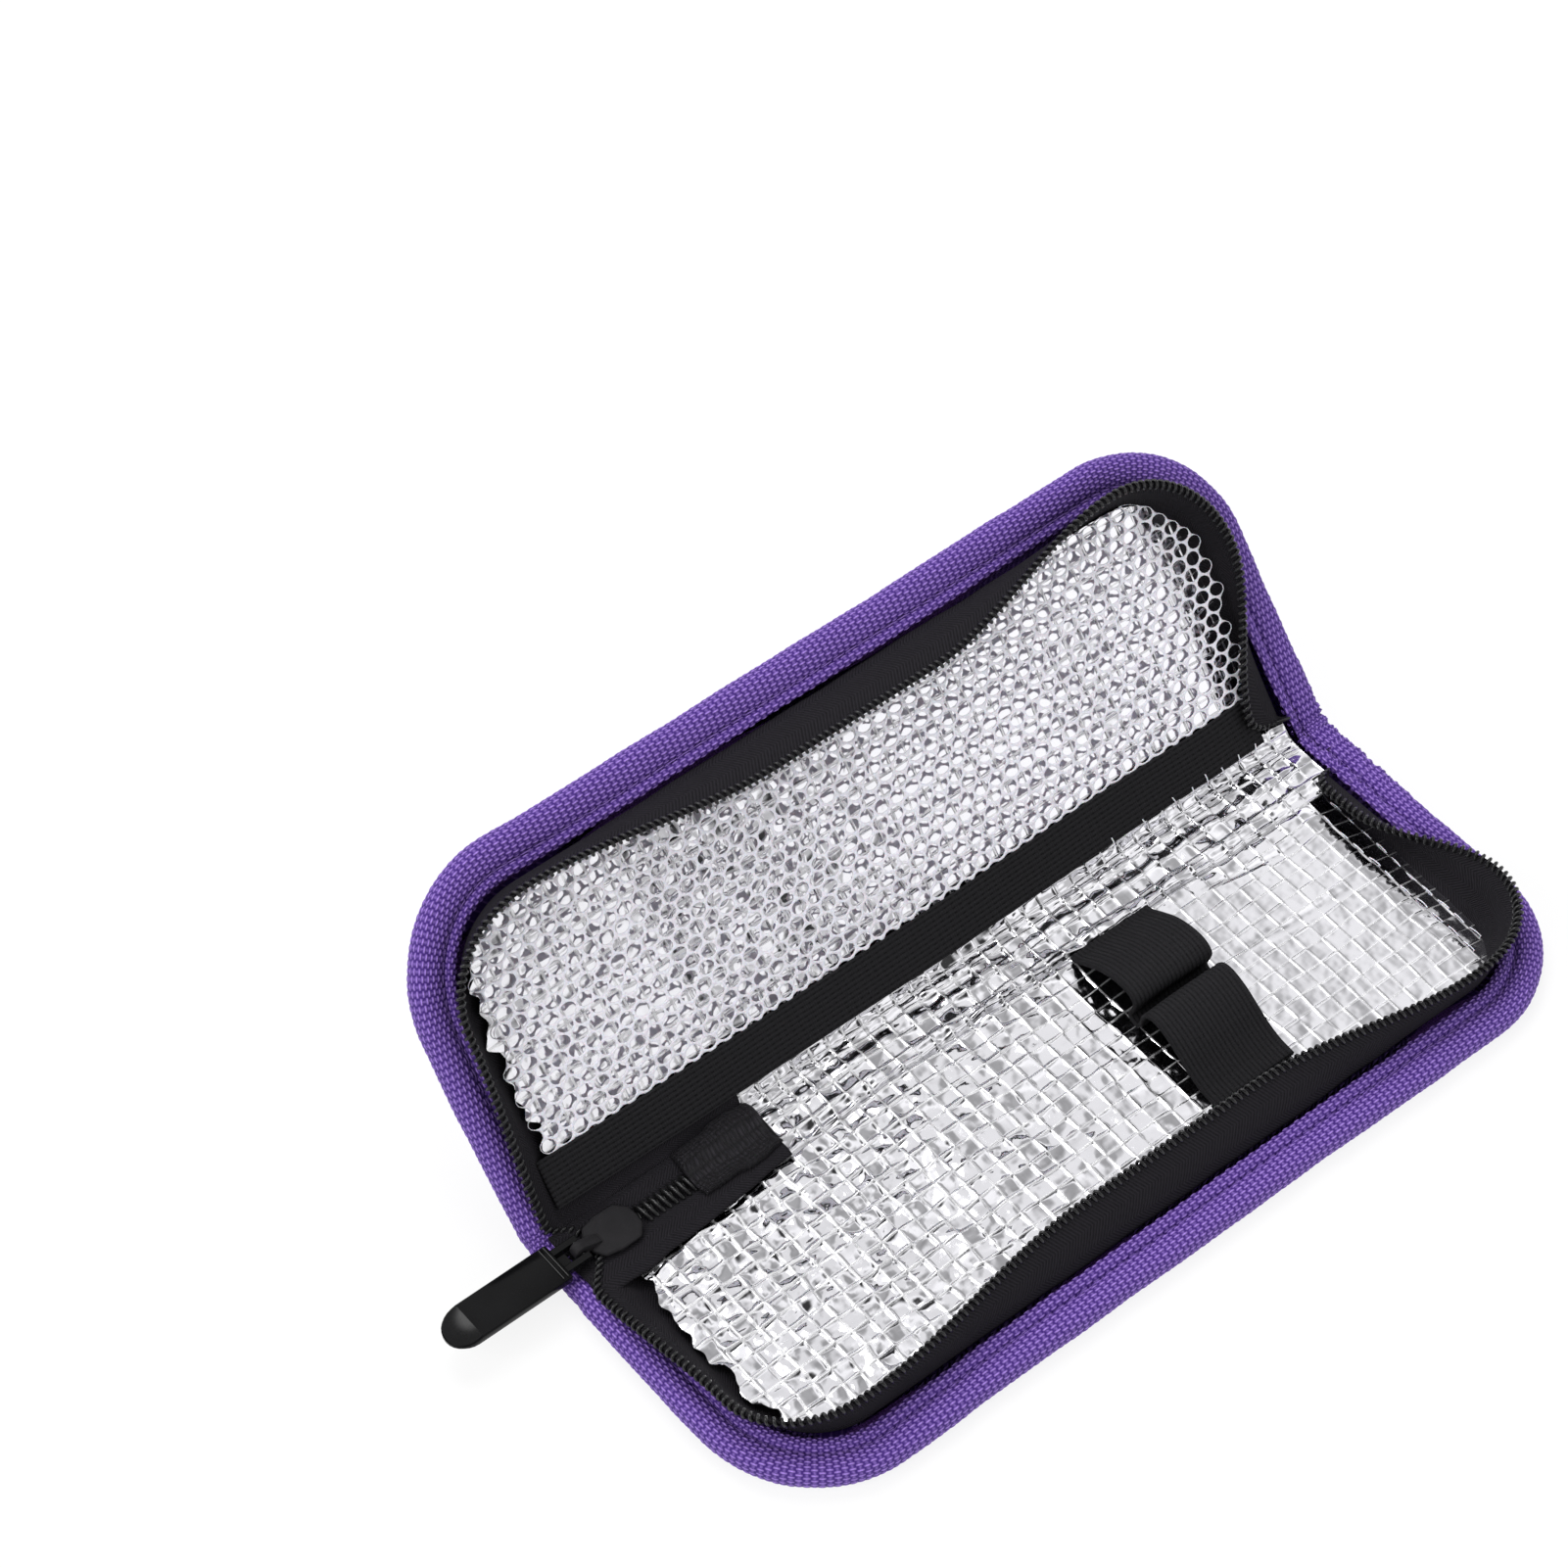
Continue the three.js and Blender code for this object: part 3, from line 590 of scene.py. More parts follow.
WEFT_SHARE = 0.42  # how high the yarns across the webbing stand, against those along it
GROOVE_LEVEL = 0.22  # the ribs' height under which a needle hole may lie
HOLE_LEVEL = 0.75  # how much of a stitch's wave is no hole
WORN = (45.0, -60.0)  # x where the foil's wear begins, towards the left, and where it is full
THREAD_HALF = (0.17, 0.34)  # half the width of a foil thread, new and worn
THREAD_EDGE = (0.5, 1.2)  # share of that half over which a thread fades out
NOISE_SPAN = (0.3, 0.7)  # where most of a noise lies


def plain_weave_group():
    """Yarns that cross over and under, one by one."""
    tree, given, out = group("Plain weave", {"Along": 0.5, "Across": 0.5}, ("Height", "Over"))
    axes = axes_of(tree, given)
    waves = []
    for axis, pitch in ((0, "Along"), (1, "Across")):
        waves.append(wave(tree, "SINE", calc(tree, "DIVIDE", axes[axis], given[pitch]), math.pi))
    cross = calc(tree, "MULTIPLY", *waves)
    tree.links.new(calc(tree, "SQRT", calc(tree, "ABSOLUTE", cross)), out["Height"])
    tree.links.new(calc(tree, "GREATER_THAN", cross, 0.0), out["Over"])
    return tree


def webbing_group():
    """Plain weave of long cells: a yarn's float along the band, then one across it."""
    tree, given, out = group("Webbing", {"Brick": 1.45, "Row": 0.53}, ("Height",))
    axes = axes_of(tree, given)
    cells, humps = [], []
    for axis, label in ((0, "Brick"), (1, "Row")):
        turns = calc(tree, "DIVIDE", axes[axis], given[label])
        cells.append(calc(tree, "FLOOR", turns))
        middle = calc(tree, "SUBTRACT", calc(tree, "FRACT", turns), 0.5)
        humps.append(wave(tree, "COSINE", middle, math.pi))
    across = calc(tree, "FLOORED_MODULO", calc(tree, "ADD", *cells), 2.0)
    warp = calc(tree, "MULTIPLY", calc(tree, "SQRT", humps[0]), humps[1])
    weft = calc(tree, "MULTIPLY", calc(tree, "POWER", humps[0], 3.0), WEFT_SHARE)
    height = node(tree, "ShaderNodeMix", across, None, warp, weft)
    tree.links.new(height.outputs[0], out["Height"])
    return tree


def herringbone_group():
    """Slanting ribs that turn back at every stripe."""
    tree, given, out = group("Herringbone", {"Pitch": 0.6, "Stripe": 2.4}, ("Height",))
    axes = axes_of(tree, given)
    slant = calc(tree, "PINGPONG", axes[1], given["Stripe"])
    turns = calc(tree, "DIVIDE", calc(tree, "ADD", axes[0], slant), given["Pitch"])
    ribs_wave = wave(tree, "SINE", turns, math.tau)
    tree.links.new(calc(tree, "MULTIPLY_ADD", ribs_wave, 0.5, 0.5), out["Height"])
    return tree


def ribs_group():
    """Ribs along a band, with needle holes in the grooves between them."""
    tree, given, out = group("Ribs", {"Pitch": 1.0, "Stitch": 1.5}, ("Height", "Hole"))
    axes = axes_of(tree, given)
    waves = []
    for axis, pitch in ((1, "Pitch"), (0, "Stitch")):
        turns = calc(tree, "DIVIDE", axes[axis], given[pitch])
        waves.append(calc(tree, "MULTIPLY_ADD", wave(tree, "COSINE", turns, math.tau), 0.5, 0.5))
    tree.links.new(waves[0], out["Height"])
    groove = calc(tree, "LESS_THAN", waves[0], GROOVE_LEVEL)
    hole = calc(tree, "MULTIPLY", groove, calc(tree, "GREATER_THAN", waves[1], HOLE_LEVEL))
    tree.links.new(hole, out["Hole"])
    return tree


def scrim_group():
    """The threads under the foil, wide at the left where it is worn and thin at the right."""
    tree, given, out = group("Scrim", {"Along": 4.1, "Across": 3.75}, ("Thread", "Wear"))
    axes = axes_of(tree, given)
    gaps = []
    for axis, pitch in ((0, "Along"), (1, "Across")):
        half = calc(tree, "MULTIPLY", given[pitch], 0.5)
        gaps.append(calc(tree, "PINGPONG", axes[axis], half))
    wear = spread(tree, axes[0], 0.0, 1.0, *WORN)
    share = calc(tree, "DIVIDE", calc(tree, "MINIMUM", *gaps), spread(tree, wear, *THREAD_HALF))
    tree.links.new(spread(tree, share, 1.0, 0.0, *THREAD_EDGE), out["Thread"])
    tree.links.new(wear, out["Wear"])
    return tree


def fleck_group():
    """Uneven tone and loose fibres, in two scales."""
    tree, given, out = group("Fleck", {"Broad": 0.08, "Fine": 2.0}, ("Tone", "Fibre"))
    for scale, detail, label in (("Broad", 3.0, "Tone"), ("Fine", 4.0, "Fibre")):
        noise = node(tree, "ShaderNodeTexNoise", given["Vector"], None, given[scale], detail)
        tree.links.new(spread(tree, noise.outputs[0], 0.0, 1.0, *NOISE_SPAN), out[label])
    return tree


GROUP_MAKERS = {
    "weave": plain_weave_group,
    "webbing": webbing_group,
    "herringbone": herringbone_group,
    "ribs": ribs_group,
    "scrim": scrim_group,
    "fleck": fleck_group,
}
GROUPS = {}


def use_group(tree, name, vector, **values):
    """Places a shared group, which is made at its first use."""
    if name not in GROUPS:
        GROUPS[name] = GROUP_MAKERS[name]()
    made = tree.nodes.new("ShaderNodeGroup")
    made.node_tree = GROUPS[name]
    for label, value in {"vector": vector, **values}.items():
        join(tree, value, made.inputs[label.title()])
    return made.outputs


def new_material(name, **constants):
    """A material with its Principled shader, whose plain values are set on its sockets."""
    made = bpy.data.materials.new(name)
    made.use_nodes = True
    shader = made.node_tree.nodes["Principled BSDF"]
    for label, value in constants.items():
        shader.inputs[label.replace("_", " ").title().replace("Ior", "IOR")].default_value = value
    return made, made.node_tree, shader.inputs


def surface_mm(tree):
    return node(tree, "ShaderNodeUVMap", uv_map="surface").outputs[0]


def object_mm(tree):
    place = node(tree, "ShaderNodeTexCoord").outputs["Object"]
    return node(tree, "ShaderNodeVectorMath", place, (1 / MM,) * 3, operation="MULTIPLY").outputs[0]


def bump(tree, sockets, height, depth):
    """Raises the surface by a height of 0 to 1 times the depth in millimetres."""
    made = node(tree, "ShaderNodeBump")
    made.inputs["Strength"].default_value = 1.0
    made.inputs["Distance"].default_value = depth * MM
    tree.links.new(height, made.inputs["Height"])
    tree.links.new(made.outputs[0], sockets["Normal"])


def paint(tree, sockets, share, low, high):
    """Colours the surface between two tones."""
    tree.links.new(mix_colours(tree, share, low, high), sockets["Base Color"])


LOOKS = {}


def look(name):
    """A material, which is made at its first use."""
    if name not in LOOKS:
        LOOKS[name] = LOOK_MAKERS[name]()
    return LOOKS[name]


WHITE = (1.0, 1.0, 1.0)
FADED = (0.82, 0.8, 0.84)
YARN_UNDER = (0.86, 0.86, 0.88)
THREAD_TONE = (0.88, 0.88, 0.89)
# painted shade for the foil's creases
CREASE_PAINTED_SHADE_TONE = (0.2, 0.2, 0.21)


def cover_cloth():
    made, tree, sockets = new_material("Cover cloth", roughness=0.55, specular_ior_level=0.3)
    place = surface_mm(tree)
    weave = use_group(tree, "weave", place, along=0.62, across=0.5)
    fleck = use_group(tree, "fleck", place, broad=0.06, fine=1.1)
    # painted shade between the yarns, by the weave's height
    tone = mix_colours(tree, weave["Height"], shade("cover_painted_shade"), shade("cover"))
    darker = mix_colours(tree, fleck["Tone"], FADED, WHITE)
    yarn = mix_colours(tree, weave["Over"], YARN_UNDER, WHITE)
    for tint in (darker, yarn):
        tone = mix_colours(tree, 1.0, tone, tint, blend_type="MULTIPLY")
    tree.links.new(tone, sockets["Base Color"])
    bump(tree, sockets, weave["Height"], depth=0.12)
    return made


def binding_webbing():
    made, tree, sockets = new_material("Binding webbing", roughness=0.6, specular_ior_level=0.3)
    place = surface_mm(tree)
    weave = use_group(tree, "webbing", place, brick=size("webbing_brick"), row=size("webbing_row"))
    fleck = use_group(tree, "fleck", place, broad=0.12, fine=3.0)
    fibres = calc(tree, "MULTIPLY_ADD", fleck["Fibre"], 0.3, weave["Height"])
    share = spread(tree, fibres, 0.0, 1.0, start=0.25, end=1.2)
    # painted shade: the sunk yarn between the floats is painted darker, the raised yarn lighter
    paint(tree, sockets, share, shade("webbing_painted_shade"), shade("webbing"))
    bump(tree, sockets, fibres, depth=0.16)
    return made


def foil_film():
    """A mirror film, duller where it is worn, matt on its threads, with painted shade in its creases."""
    made, tree, sockets = new_material("Foil film")
    place = surface_mm(tree)
    fleck = use_group(tree, "fleck", place, broad=0.25, fine=1.6)
    scrim = use_group(tree, "scrim", place, along=size("scrim_along"), across=size("scrim_across"))
    dull = mix_colours(tree, scrim["Wear"], shade("foil"), shade("foil", 0.82))
    tone = mix_colours(tree, spread(tree, fleck["Tone"], 0.4, 1.0), shade("foil"), dull)
    thread = calc(tree, "MULTIPLY", scrim["Thread"], spread(tree, fleck["Tone"], 0.35, 1.0))
    film = mix_colours(tree, thread, tone, THREAD_TONE)
    # painted shade: the crease mask darkens the film along its creases
    crease = node(tree, "ShaderNodeAttribute", attribute_name="crease").outputs["Fac"]
    paint(tree, sockets, crease, film, CREASE_PAINTED_SHADE_TONE)
    matt = calc(tree, "MULTIPLY", thread, spread(tree, scrim["Wear"], 0.2, 1.0))
    tree.links.new(spread(tree, matt, 1.0, 0.4), sockets["Metallic"])
    mirror = spread(tree, fleck["Fibre"], 0.06, 0.13)
    tree.links.new(calc(tree, "MULTIPLY_ADD", thread, 0.32, mirror), sockets["Roughness"])
    wrinkle = node(tree, "ShaderNodeTexNoise", place, None, 0.35, 1.0)
    bump(tree, sockets, wrinkle.outputs[0], depth=0.16)
    return made


def insulation_foam():
    made, tree, sockets = new_material("Insulation foam", roughness=0.9)
    pores = node(tree, "ShaderNodeTexVoronoi", object_mm(tree), None, 1.4).outputs[0]
    # painted shade in the pores
    paint(tree, sockets, pores, shade("foam", 0.7), shade("foam"))
    bump(tree, sockets, pores, depth=0.3)
    return made


def zip_tape():
    made, tree, sockets = new_material("Zip tape", roughness=0.8, specular_ior_level=0.15)
    place = surface_mm(tree)
    rib = use_group(tree, "herringbone", place, pitch=0.75, stripe=2.6)
    fleck = use_group(tree, "fleck", place, broad=0.15, fine=1.7)
    raised = calc(tree, "MULTIPLY_ADD", fleck["Fibre"], 0.4, rib["Height"])
    # painted shade in the herringbone's grooves and painted highlight on its ribs, with the fibres' own
    # uneven tone
    paint(tree, sockets, raised, shade("tape", 0.45), shade("tape", 1.4))
    bump(tree, sockets, raised, depth=0.1)
    return made


def tab_weave():
    made, tree, sockets = new_material("Tab weave", roughness=0.6, specular_ior_level=0.25)
    place = surface_mm(tree)
    weave = use_group(tree, "weave", place, along=0.95, across=0.85)
    fleck = use_group(tree, "fleck", place, broad=0.2, fine=1.3)
    raised = calc(tree, "MULTIPLY", weave["Height"], fleck["Fibre"])
    # painted highlight on the raised yarn and painted shade between the yarns, by the weave's height and its
    # fibres
    paint(tree, sockets, raised, shade("tape", 0.3), shade("tape", 2.4))
    bump(tree, sockets, raised, depth=0.5)
    return made


def elastic_rib():
    made, tree, sockets = new_material("Elastic rib", roughness=0.8, specular_ior_level=0.15)
    place = surface_mm(tree)
    rib = use_group(tree, "ribs", place, pitch=size("rib_pitch"), stitch=1.7)
    knit = use_group(tree, "weave", place, along=0.5, across=0.42)
    fleck = use_group(tree, "fleck", place, broad=0.12, fine=2.4)
    yarn = calc(tree, "MULTIPLY_ADD", fleck["Fibre"], 0.3, calc(tree, "MULTIPLY", knit["Height"], 0.4))
    raised = calc(tree, "MULTIPLY_ADD", rib["Height"], 0.45, yarn)
    holed = calc(tree, "MULTIPLY_ADD", rib["Hole"], -0.6, raised)
    share = spread(tree, holed, 0.0, 1.0, start=-0.1, end=1.0)
    # painted shade in the rib grooves and needle holes and painted highlight on the rib tops, with the
    # knit's and fibres' own tone
    paint(tree, sockets, share, shade("elastic", 0.4), shade("elastic", 1.6))
    bump(tree, sockets, holed, depth=0.1)
    return made


def net_yarn():
    made, tree, sockets = new_material(
        "Net yarn", roughness=0.55, sheen_weight=0.15, subsurface_weight=0.1,
        subsurface_scale=0.5 * MM)
    fleck = use_group(tree, "fleck", object_mm(tree), broad=0.1, fine=2.5)
    paint(tree, sockets, fleck["Fibre"], shade("net", 0.8), shade("net"))
    bump(tree, sockets, fleck["Fibre"], depth=0.06)
    return made


def coated(name, key, lighter, specular, gloss, grain=0.0, **flecks):
    """A hard dark surface with an uneven tone and gloss, and a grain where it has one."""
    made, tree, sockets = new_material(name, specular_ior_level=specular)
    fleck = use_group(tree, "fleck", object_mm(tree), **flecks)
    paint(tree, sockets, fleck["Tone"], shade(key), shade(key, lighter))
    tree.links.new(spread(tree, fleck["Fibre"], *gloss), sockets["Roughness"])
    if grain:
        bump(tree, sockets, fleck["Fibre"], depth=grain)
    return made


def coil_nylon():
    return coated("Coil nylon", "coil", 1.7, specular=0.5, gloss=(0.2, 0.34), broad=0.1, fine=1.2)


def slider_paint():
    return coated(
        "Slider paint", "slider", 1.25, specular=0.12, gloss=(0.42, 0.55), grain=0.02, broad=0.3, fine=6.0)


def puller_enamel():
    return coated("Puller enamel", "puller", 1.5, specular=0.13, gloss=(0.07, 0.13), broad=0.15, fine=2.0)


LOOK_MAKERS = {
    maker.__name__: maker
    for maker in (
        cover_cloth, binding_webbing, foil_film, insulation_foam, zip_tape, tab_weave, elastic_rib,
        net_yarn, coil_nylon, slider_paint, puller_enamel)
}


# Outer cloth and foam

COVER_EDGE_HEIGHT = 0.7  # where the binding holds the cloth
COVER_FIELD_HEIGHT = 0.12  # the lowest part of the field
COVER_RIPPLE_FLOOR = -0.05
COVER_INSET = 2.0
COVER_SLOPE = 16.0  # width over which the cloth falls from its edge to the field
COVER_THICKNESS = 0.6
COVER_GRID = (161, 71)


def make_cover(panel):
    low, high = panel_span(panel, COVER_INSET)

    def spot(share, t):
        return share * half_at(panel, from_fold(panel, t), COVER_INSET), t

    def place(share, t):
        x, t = spot(share, t)
        inner = edge_share(panel, x, t, COVER_INSET, COVER_SLOPE)
        ripple = uneven("cover ripple", x, t) * inner
        depth = COVER_EDGE_HEIGHT + (COVER_FIELD_HEIGHT - COVER_EDGE_HEIGHT) * inner
        return on_sheet(x, t, depth + np.maximum(ripple, COVER_RIPPLE_FLOOR))

    ends, rows = np.linspace(-1, 1, COVER_GRID[0]), np.linspace(low, high, COVER_GRID[1])
    mesh = mapped_grid(f"outer_cloth_{panel.name}", ends, rows, place, surface=spot, flip=True)
    piece = finish_piece(mesh, COVER_THICKNESS, -1)


FOAM_LOW, FOAM_HIGH = (corner.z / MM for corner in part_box("base_foam"))
FOAM_INSET = 20.0
FOAM_START = 4.4  # from the fold to the foam of a panel
FOAM_LIFT = 0.1  # clear of the cloth
FOAM_PRESS = 1.0  # pressed down by the quilted foil
FOAM_ROUNDING = 0.4
FOAM_CORNER_STEPS = 8
SPINE_FOAM_SIDES = (3.2, SPINE_WIDTH - 3.6)
SPINE_FOAM_LEFT = -66.0  # the zip's closed end lies to the left of it


def panel_foam(panel):
    """Outline of a panel's foam in x and t, with round corners at its free edge."""
    far = panel.depth - FOAM_INSET
    radius = panel.corner - FOAM_INSET
    half = HALF_LENGTH - FOAM_INSET
    points = [(-half, FOAM_START)]
    for k in range(FOAM_CORNER_STEPS + 1):
        angle = math.pi * (1 - k / FOAM_CORNER_STEPS / 2)
        points.append((radius - half + radius * math.cos(angle), far - radius + radius * math.sin(angle)))
    points += [(-x, u) for x, u in reversed(points)]
    return [(x, across_sheet(panel, u)) for x, u in reversed(points)]


def spine_foam():
    return rectangle(SPINE_FOAM_LEFT, HALF_LENGTH - FOAM_INSET, *SPINE_FOAM_SIDES)


def make_foam(name, outline):
    bm = bmesh.new()
    prism(bm, outline, FOAM_LOW + FOAM_LIFT, FOAM_HIGH - FOAM_PRESS, FOAM_ROUNDING)
    bmesh.ops.triangulate(bm, faces=[f for f in bm.faces if len(f.verts) > 4])
    bmesh.ops.recalc_face_normals(bm, faces=bm.faces)
    for vert in bm.verts:
        spot = vert.co / MM
        vert.co = Vector(on_sheet(spot.x, np.array([spot.y]), spot.z)[0] * MM)
    piece = finish_piece(mesh_from(bm, name))


# Foil lining

RIDGE_SHARES = (0.0, 0.05, 0.12, 0.23, 0.42, 0.58, 0.77, 0.88, 0.95)  # grid lines in a cell
FOIL_HEIGHT = LINING_TOP - 0.1
FOIL_INSET = 10.3  # the foil's edge, under the foot of the tape
FOIL_LEFT_OF_SPINE = -54.0  # the zip's closed end covers what is left of it
FOIL_LOWEST = -0.9  # no dent goes deeper
EDGE_RELIEF = 0.35  # share of the relief that is left at the sewn edge
EDGE_RUN = 3.0
SEAM_RUN = 4.0  # the two halves of the foil keep together over this width
END_DROP = 3.2  # how far the padded right end falls to its seam
END_RUN = 10.7
END_CROWN = 0.7
CROWN_RUN = 24.0
PADDED_FROM = {"base": 1.0, "lid": -5.0}  # how far before a panel's fold its padding begins
PADDED_RUN = 3.0
TUCK_DEPTH = 1.1  # the foil goes down under the tape of the zip's closed end
TUCK_START = 0.9  # before the tape's edge
TUCK_RUN = 1.2
TUCK_END = -48.8
TUCK_END_RUN = 2.0
TUCK_RELIEF = 0.4  # share of the relief that is left there
RAGGED_INSET = 1.2  # the left edge frays round this distance from its limit
BESIDE_TAPE = ((-9, -4, 0.5, 1.5), (0, 2.0, 3.0, 3.0))  # t, and how far the foil stays off the tape
SPINE_END_INSET = 8.5  # at the right end of the spine, where no tape lies
NO_TAPE_FROM = 2.5  # behind the spine fold
NO_TAPE_TO = SPINE_WIDTH + 6.5
NO_TAPE_RUN = 1.5
PATCHED_REACH = 7.0  # the lid's foil is covered at the left up to here
# How worn the foil is: nearly flat at the right, quilted at the left, crumpled on the spine
WEAR_START = 44.0
WEAR_RUN = 110.0
LEAST_WEAR = 0.1
LEFT_WEAR = 0.85
SPINE_WEAR = 0.75
SPINE_WEAR_FRONT = (7.0, 9.0)  # where it begins before the spine fold, and its run
SPINE_WEAR_BACK = (10.0, 7.0)  # where it ends behind the lid fold, and its run
WEAR_RANGE = (0.05, 1.15)
# Relief of a cell: where the foil is new, and what full wear adds
THREAD_WIDTH = (0.12, 0.14)
THREAD_SHARE = (0.4, 0.6)  # of the scrim's height
CELL_TILT = (0.015, 0.36)
CELL_BOW = (0.02, 0.36)
CELL_SUNK = (0.05, 0.2)
UNDER_SHARE = 0.3  # height of a thread where it goes under another
OVER_SHARE = 0.5  # what it gains where it goes over
THREAD_UNEVEN = 0.2
CREASES = (
    # x and t along each crease, its depth and half its width
    (((-90, -5.1), (-67, -2.2), (-52, -0.3), (-27, 0.7), (15, 1.4), (55, 0.6), (80, -0.3)), 0.85, 0.36),
    (((46, -18.3), (62, -20.1), (77, -21.3)), 0.3, 0.8),
    (((50, -2.2), (65, -5.3), (79, -6.8)), 0.3, 0.7),
    (((-60, -30.0), (-20, -33.0), (5, -30.0)), 0.25, 1.0),
)
CREASE_FADE = 6.0  # length over which a crease ends
CREASE_DEPTH = 0.75
CREASE_LIP = 0.4
LIP_OFF = 2.2  # in half widths of the crease
LIP_WIDTH = 1.2
# least strength of the painted shade in the creases, before its uneven field
CREASE_SHADE = 0.65
CREASE_REACH = (-6.0, 3.0)  # rows of points lie closer here
CREASE_STEP = 0.25
FOLD_RIDGES = ((2.9, 0.9, 1.0), (8.3, 0.75, 0.9), (12.4, 0.4, 0.8))  # t, height, width
RIDGE_SHARE = 0.7
SNAP = 1e-6  # keeps a point on a grid line in the cell after it


def scrim_lines(start, stop, pitch):
    """Grid lines close together at each thread and wide in between."""
    cells = range(math.floor(start / pitch) - 1, math.ceil(stop / pitch) + 1)
    lines = [(k + share) * pitch for k in cells for share in RIDGE_SHARES]
    return np.array([v for v in lines if start - 0.5 <= v <= stop + 0.5])


def foil_wear(x, t):
    (front, front_run), (back, back_run) = SPINE_WEAR_FRONT, SPINE_WEAR_BACK
    left = LEAST_WEAR + LEFT_WEAR * ramp((WEAR_START - x) / WEAR_RUN)
    spine = ramp((t + front) / front_run) * ramp((SPINE_WIDTH + back - t) / back_run)
    return np.clip(np.maximum(left, SPINE_WEAR * spine) + uneven("foil wear", x, t), *WEAR_RANGE)


def crease_lines(x, t):
    """Depth, half width, distance and strength of each crease at the given points."""
    for line, depth, width in CREASES:
        knots = np.array(line)
        strength = np.clip(np.minimum(x - knots[0, 0], knots[-1, 0] - x) / CREASE_FADE, 0, 1)
        off = t - np.interp(x, *knots.T) - uneven("crease path", x)
        yield depth, width, off, strength


def crease_painted_shade(x, t):
    """Painted shade along the sharp creases."""
    patchy = np.clip(CREASE_SHADE + uneven("crease shade", x, t), 0, 1)
    dark = np.zeros_like(x)
    for depth, width, off, strength in crease_lines(x, t):
        dark = np.maximum(dark, depth * strength * patchy * bell(off, width))
    return dark


def fold_relief(x, t):
    """Ridges along the spine, and creases with a lip on one side."""
    height = 0
    for place, top, width in FOLD_RIDGES:
        line = place + uneven("ridge path", x)
        height = height + top * (RIDGE_SHARE + uneven("ridge height", x, t)) * bell(t - line, width)
    for depth, width, off, strength in crease_lines(x, t):
        lip = CREASE_LIP * bell(off - LIP_OFF * width, LIP_WIDTH * width)
        height = height + CREASE_DEPTH * depth * strength * (lip - bell(off, width))
    return height


def thread_top(i, j, odd, seed):
    """How high a thread stands, over or under the one that it crosses."""
    return UNDER_SHARE + OVER_SHARE * ((i + j + odd) % 2) + THREAD_UNEVEN * cell_values(i, j, seed)


def foil_relief(x, t):
    """Height of the foil over its flat place: threads, sunken cells, crumples and folds."""
    along, across = size("scrim_along"), size("scrim_across")
    i, j = np.floor(x / along + SNAP).astype(int), np.floor(t / across + SNAP).astype(int)
    line_i, line_j = np.rint(x / along).astype(int), np.rint(t / across).astype(int)
    a, b = x / along - i, t / across - j
    worn = foil_wear(x, t)
    width, rise, tilt, bow, sunk = (
        new + more * worn for new, more in (THREAD_WIDTH, THREAD_SHARE, CELL_TILT, CELL_BOW, CELL_SUNK))
    thread_t = bell(np.minimum(a, 1 - a) * along, width) * thread_top(line_i, j, 0, 19)
    thread_x = bell(np.minimum(b, 1 - b) * across, width) * thread_top(i, line_j, 1, 20)
    thread = np.maximum(thread_t, thread_x)
    p, q = 2 * a - 1, 2 * b - 1
    cell = tilt * (cell_values(i, j, 6) * p + cell_values(i, j, 7) * q) - sunk
    cell = cell + bow * cell_values(i, j, 8) * (1 - p**2) * (1 - q**2)
    crumple = worn * sum(uneven(what, x, t) for what in ("foil crumple", "foil dents", "foil glints"))
    swell = uneven("foil swell", x, t)
    return size("scrim_height") * rise * thread + cell * (1 - thread) + crumple + swell + fold_relief(x, t)


TAIL_TAPE_LEFT = -96.5
TAIL_TAPE_RIGHT = -49.5
TAIL_EDGE = ((TAIL_TAPE_LEFT + 8.0, TAIL_TAPE_LEFT + 46.0), (-4.0, -0.8))  # x and t of its slope


def tail_edge(x):
    """Lower edge of the tape at the closed end of the zip, as a sheet coordinate."""
    return np.interp(x, *TAIL_EDGE)


def foil_limits(panel, t):
    """Left and right end of the foil at a sheet coordinate."""
    u = from_fold(panel, t)
    right = half_at(panel, u, FOIL_INSET)
    if panel is BASE:
        left = np.where(t > 0.5, FOIL_LEFT_OF_SPINE, eased(t, *BESIDE_TAPE) - right)
    else:
        left = np.where(u < PATCHED_REACH, FOIL_LEFT_OF_SPINE, -right)
    no_tape = ramp(np.minimum(t - NO_TAPE_FROM, NO_TAPE_TO - t) / NO_TAPE_RUN)
    ragged = RAGGED_INSET + uneven("foil edge", t)
    return left + ragged, right + no_tape * (HALF_LENGTH - SPINE_END_INSET - right)


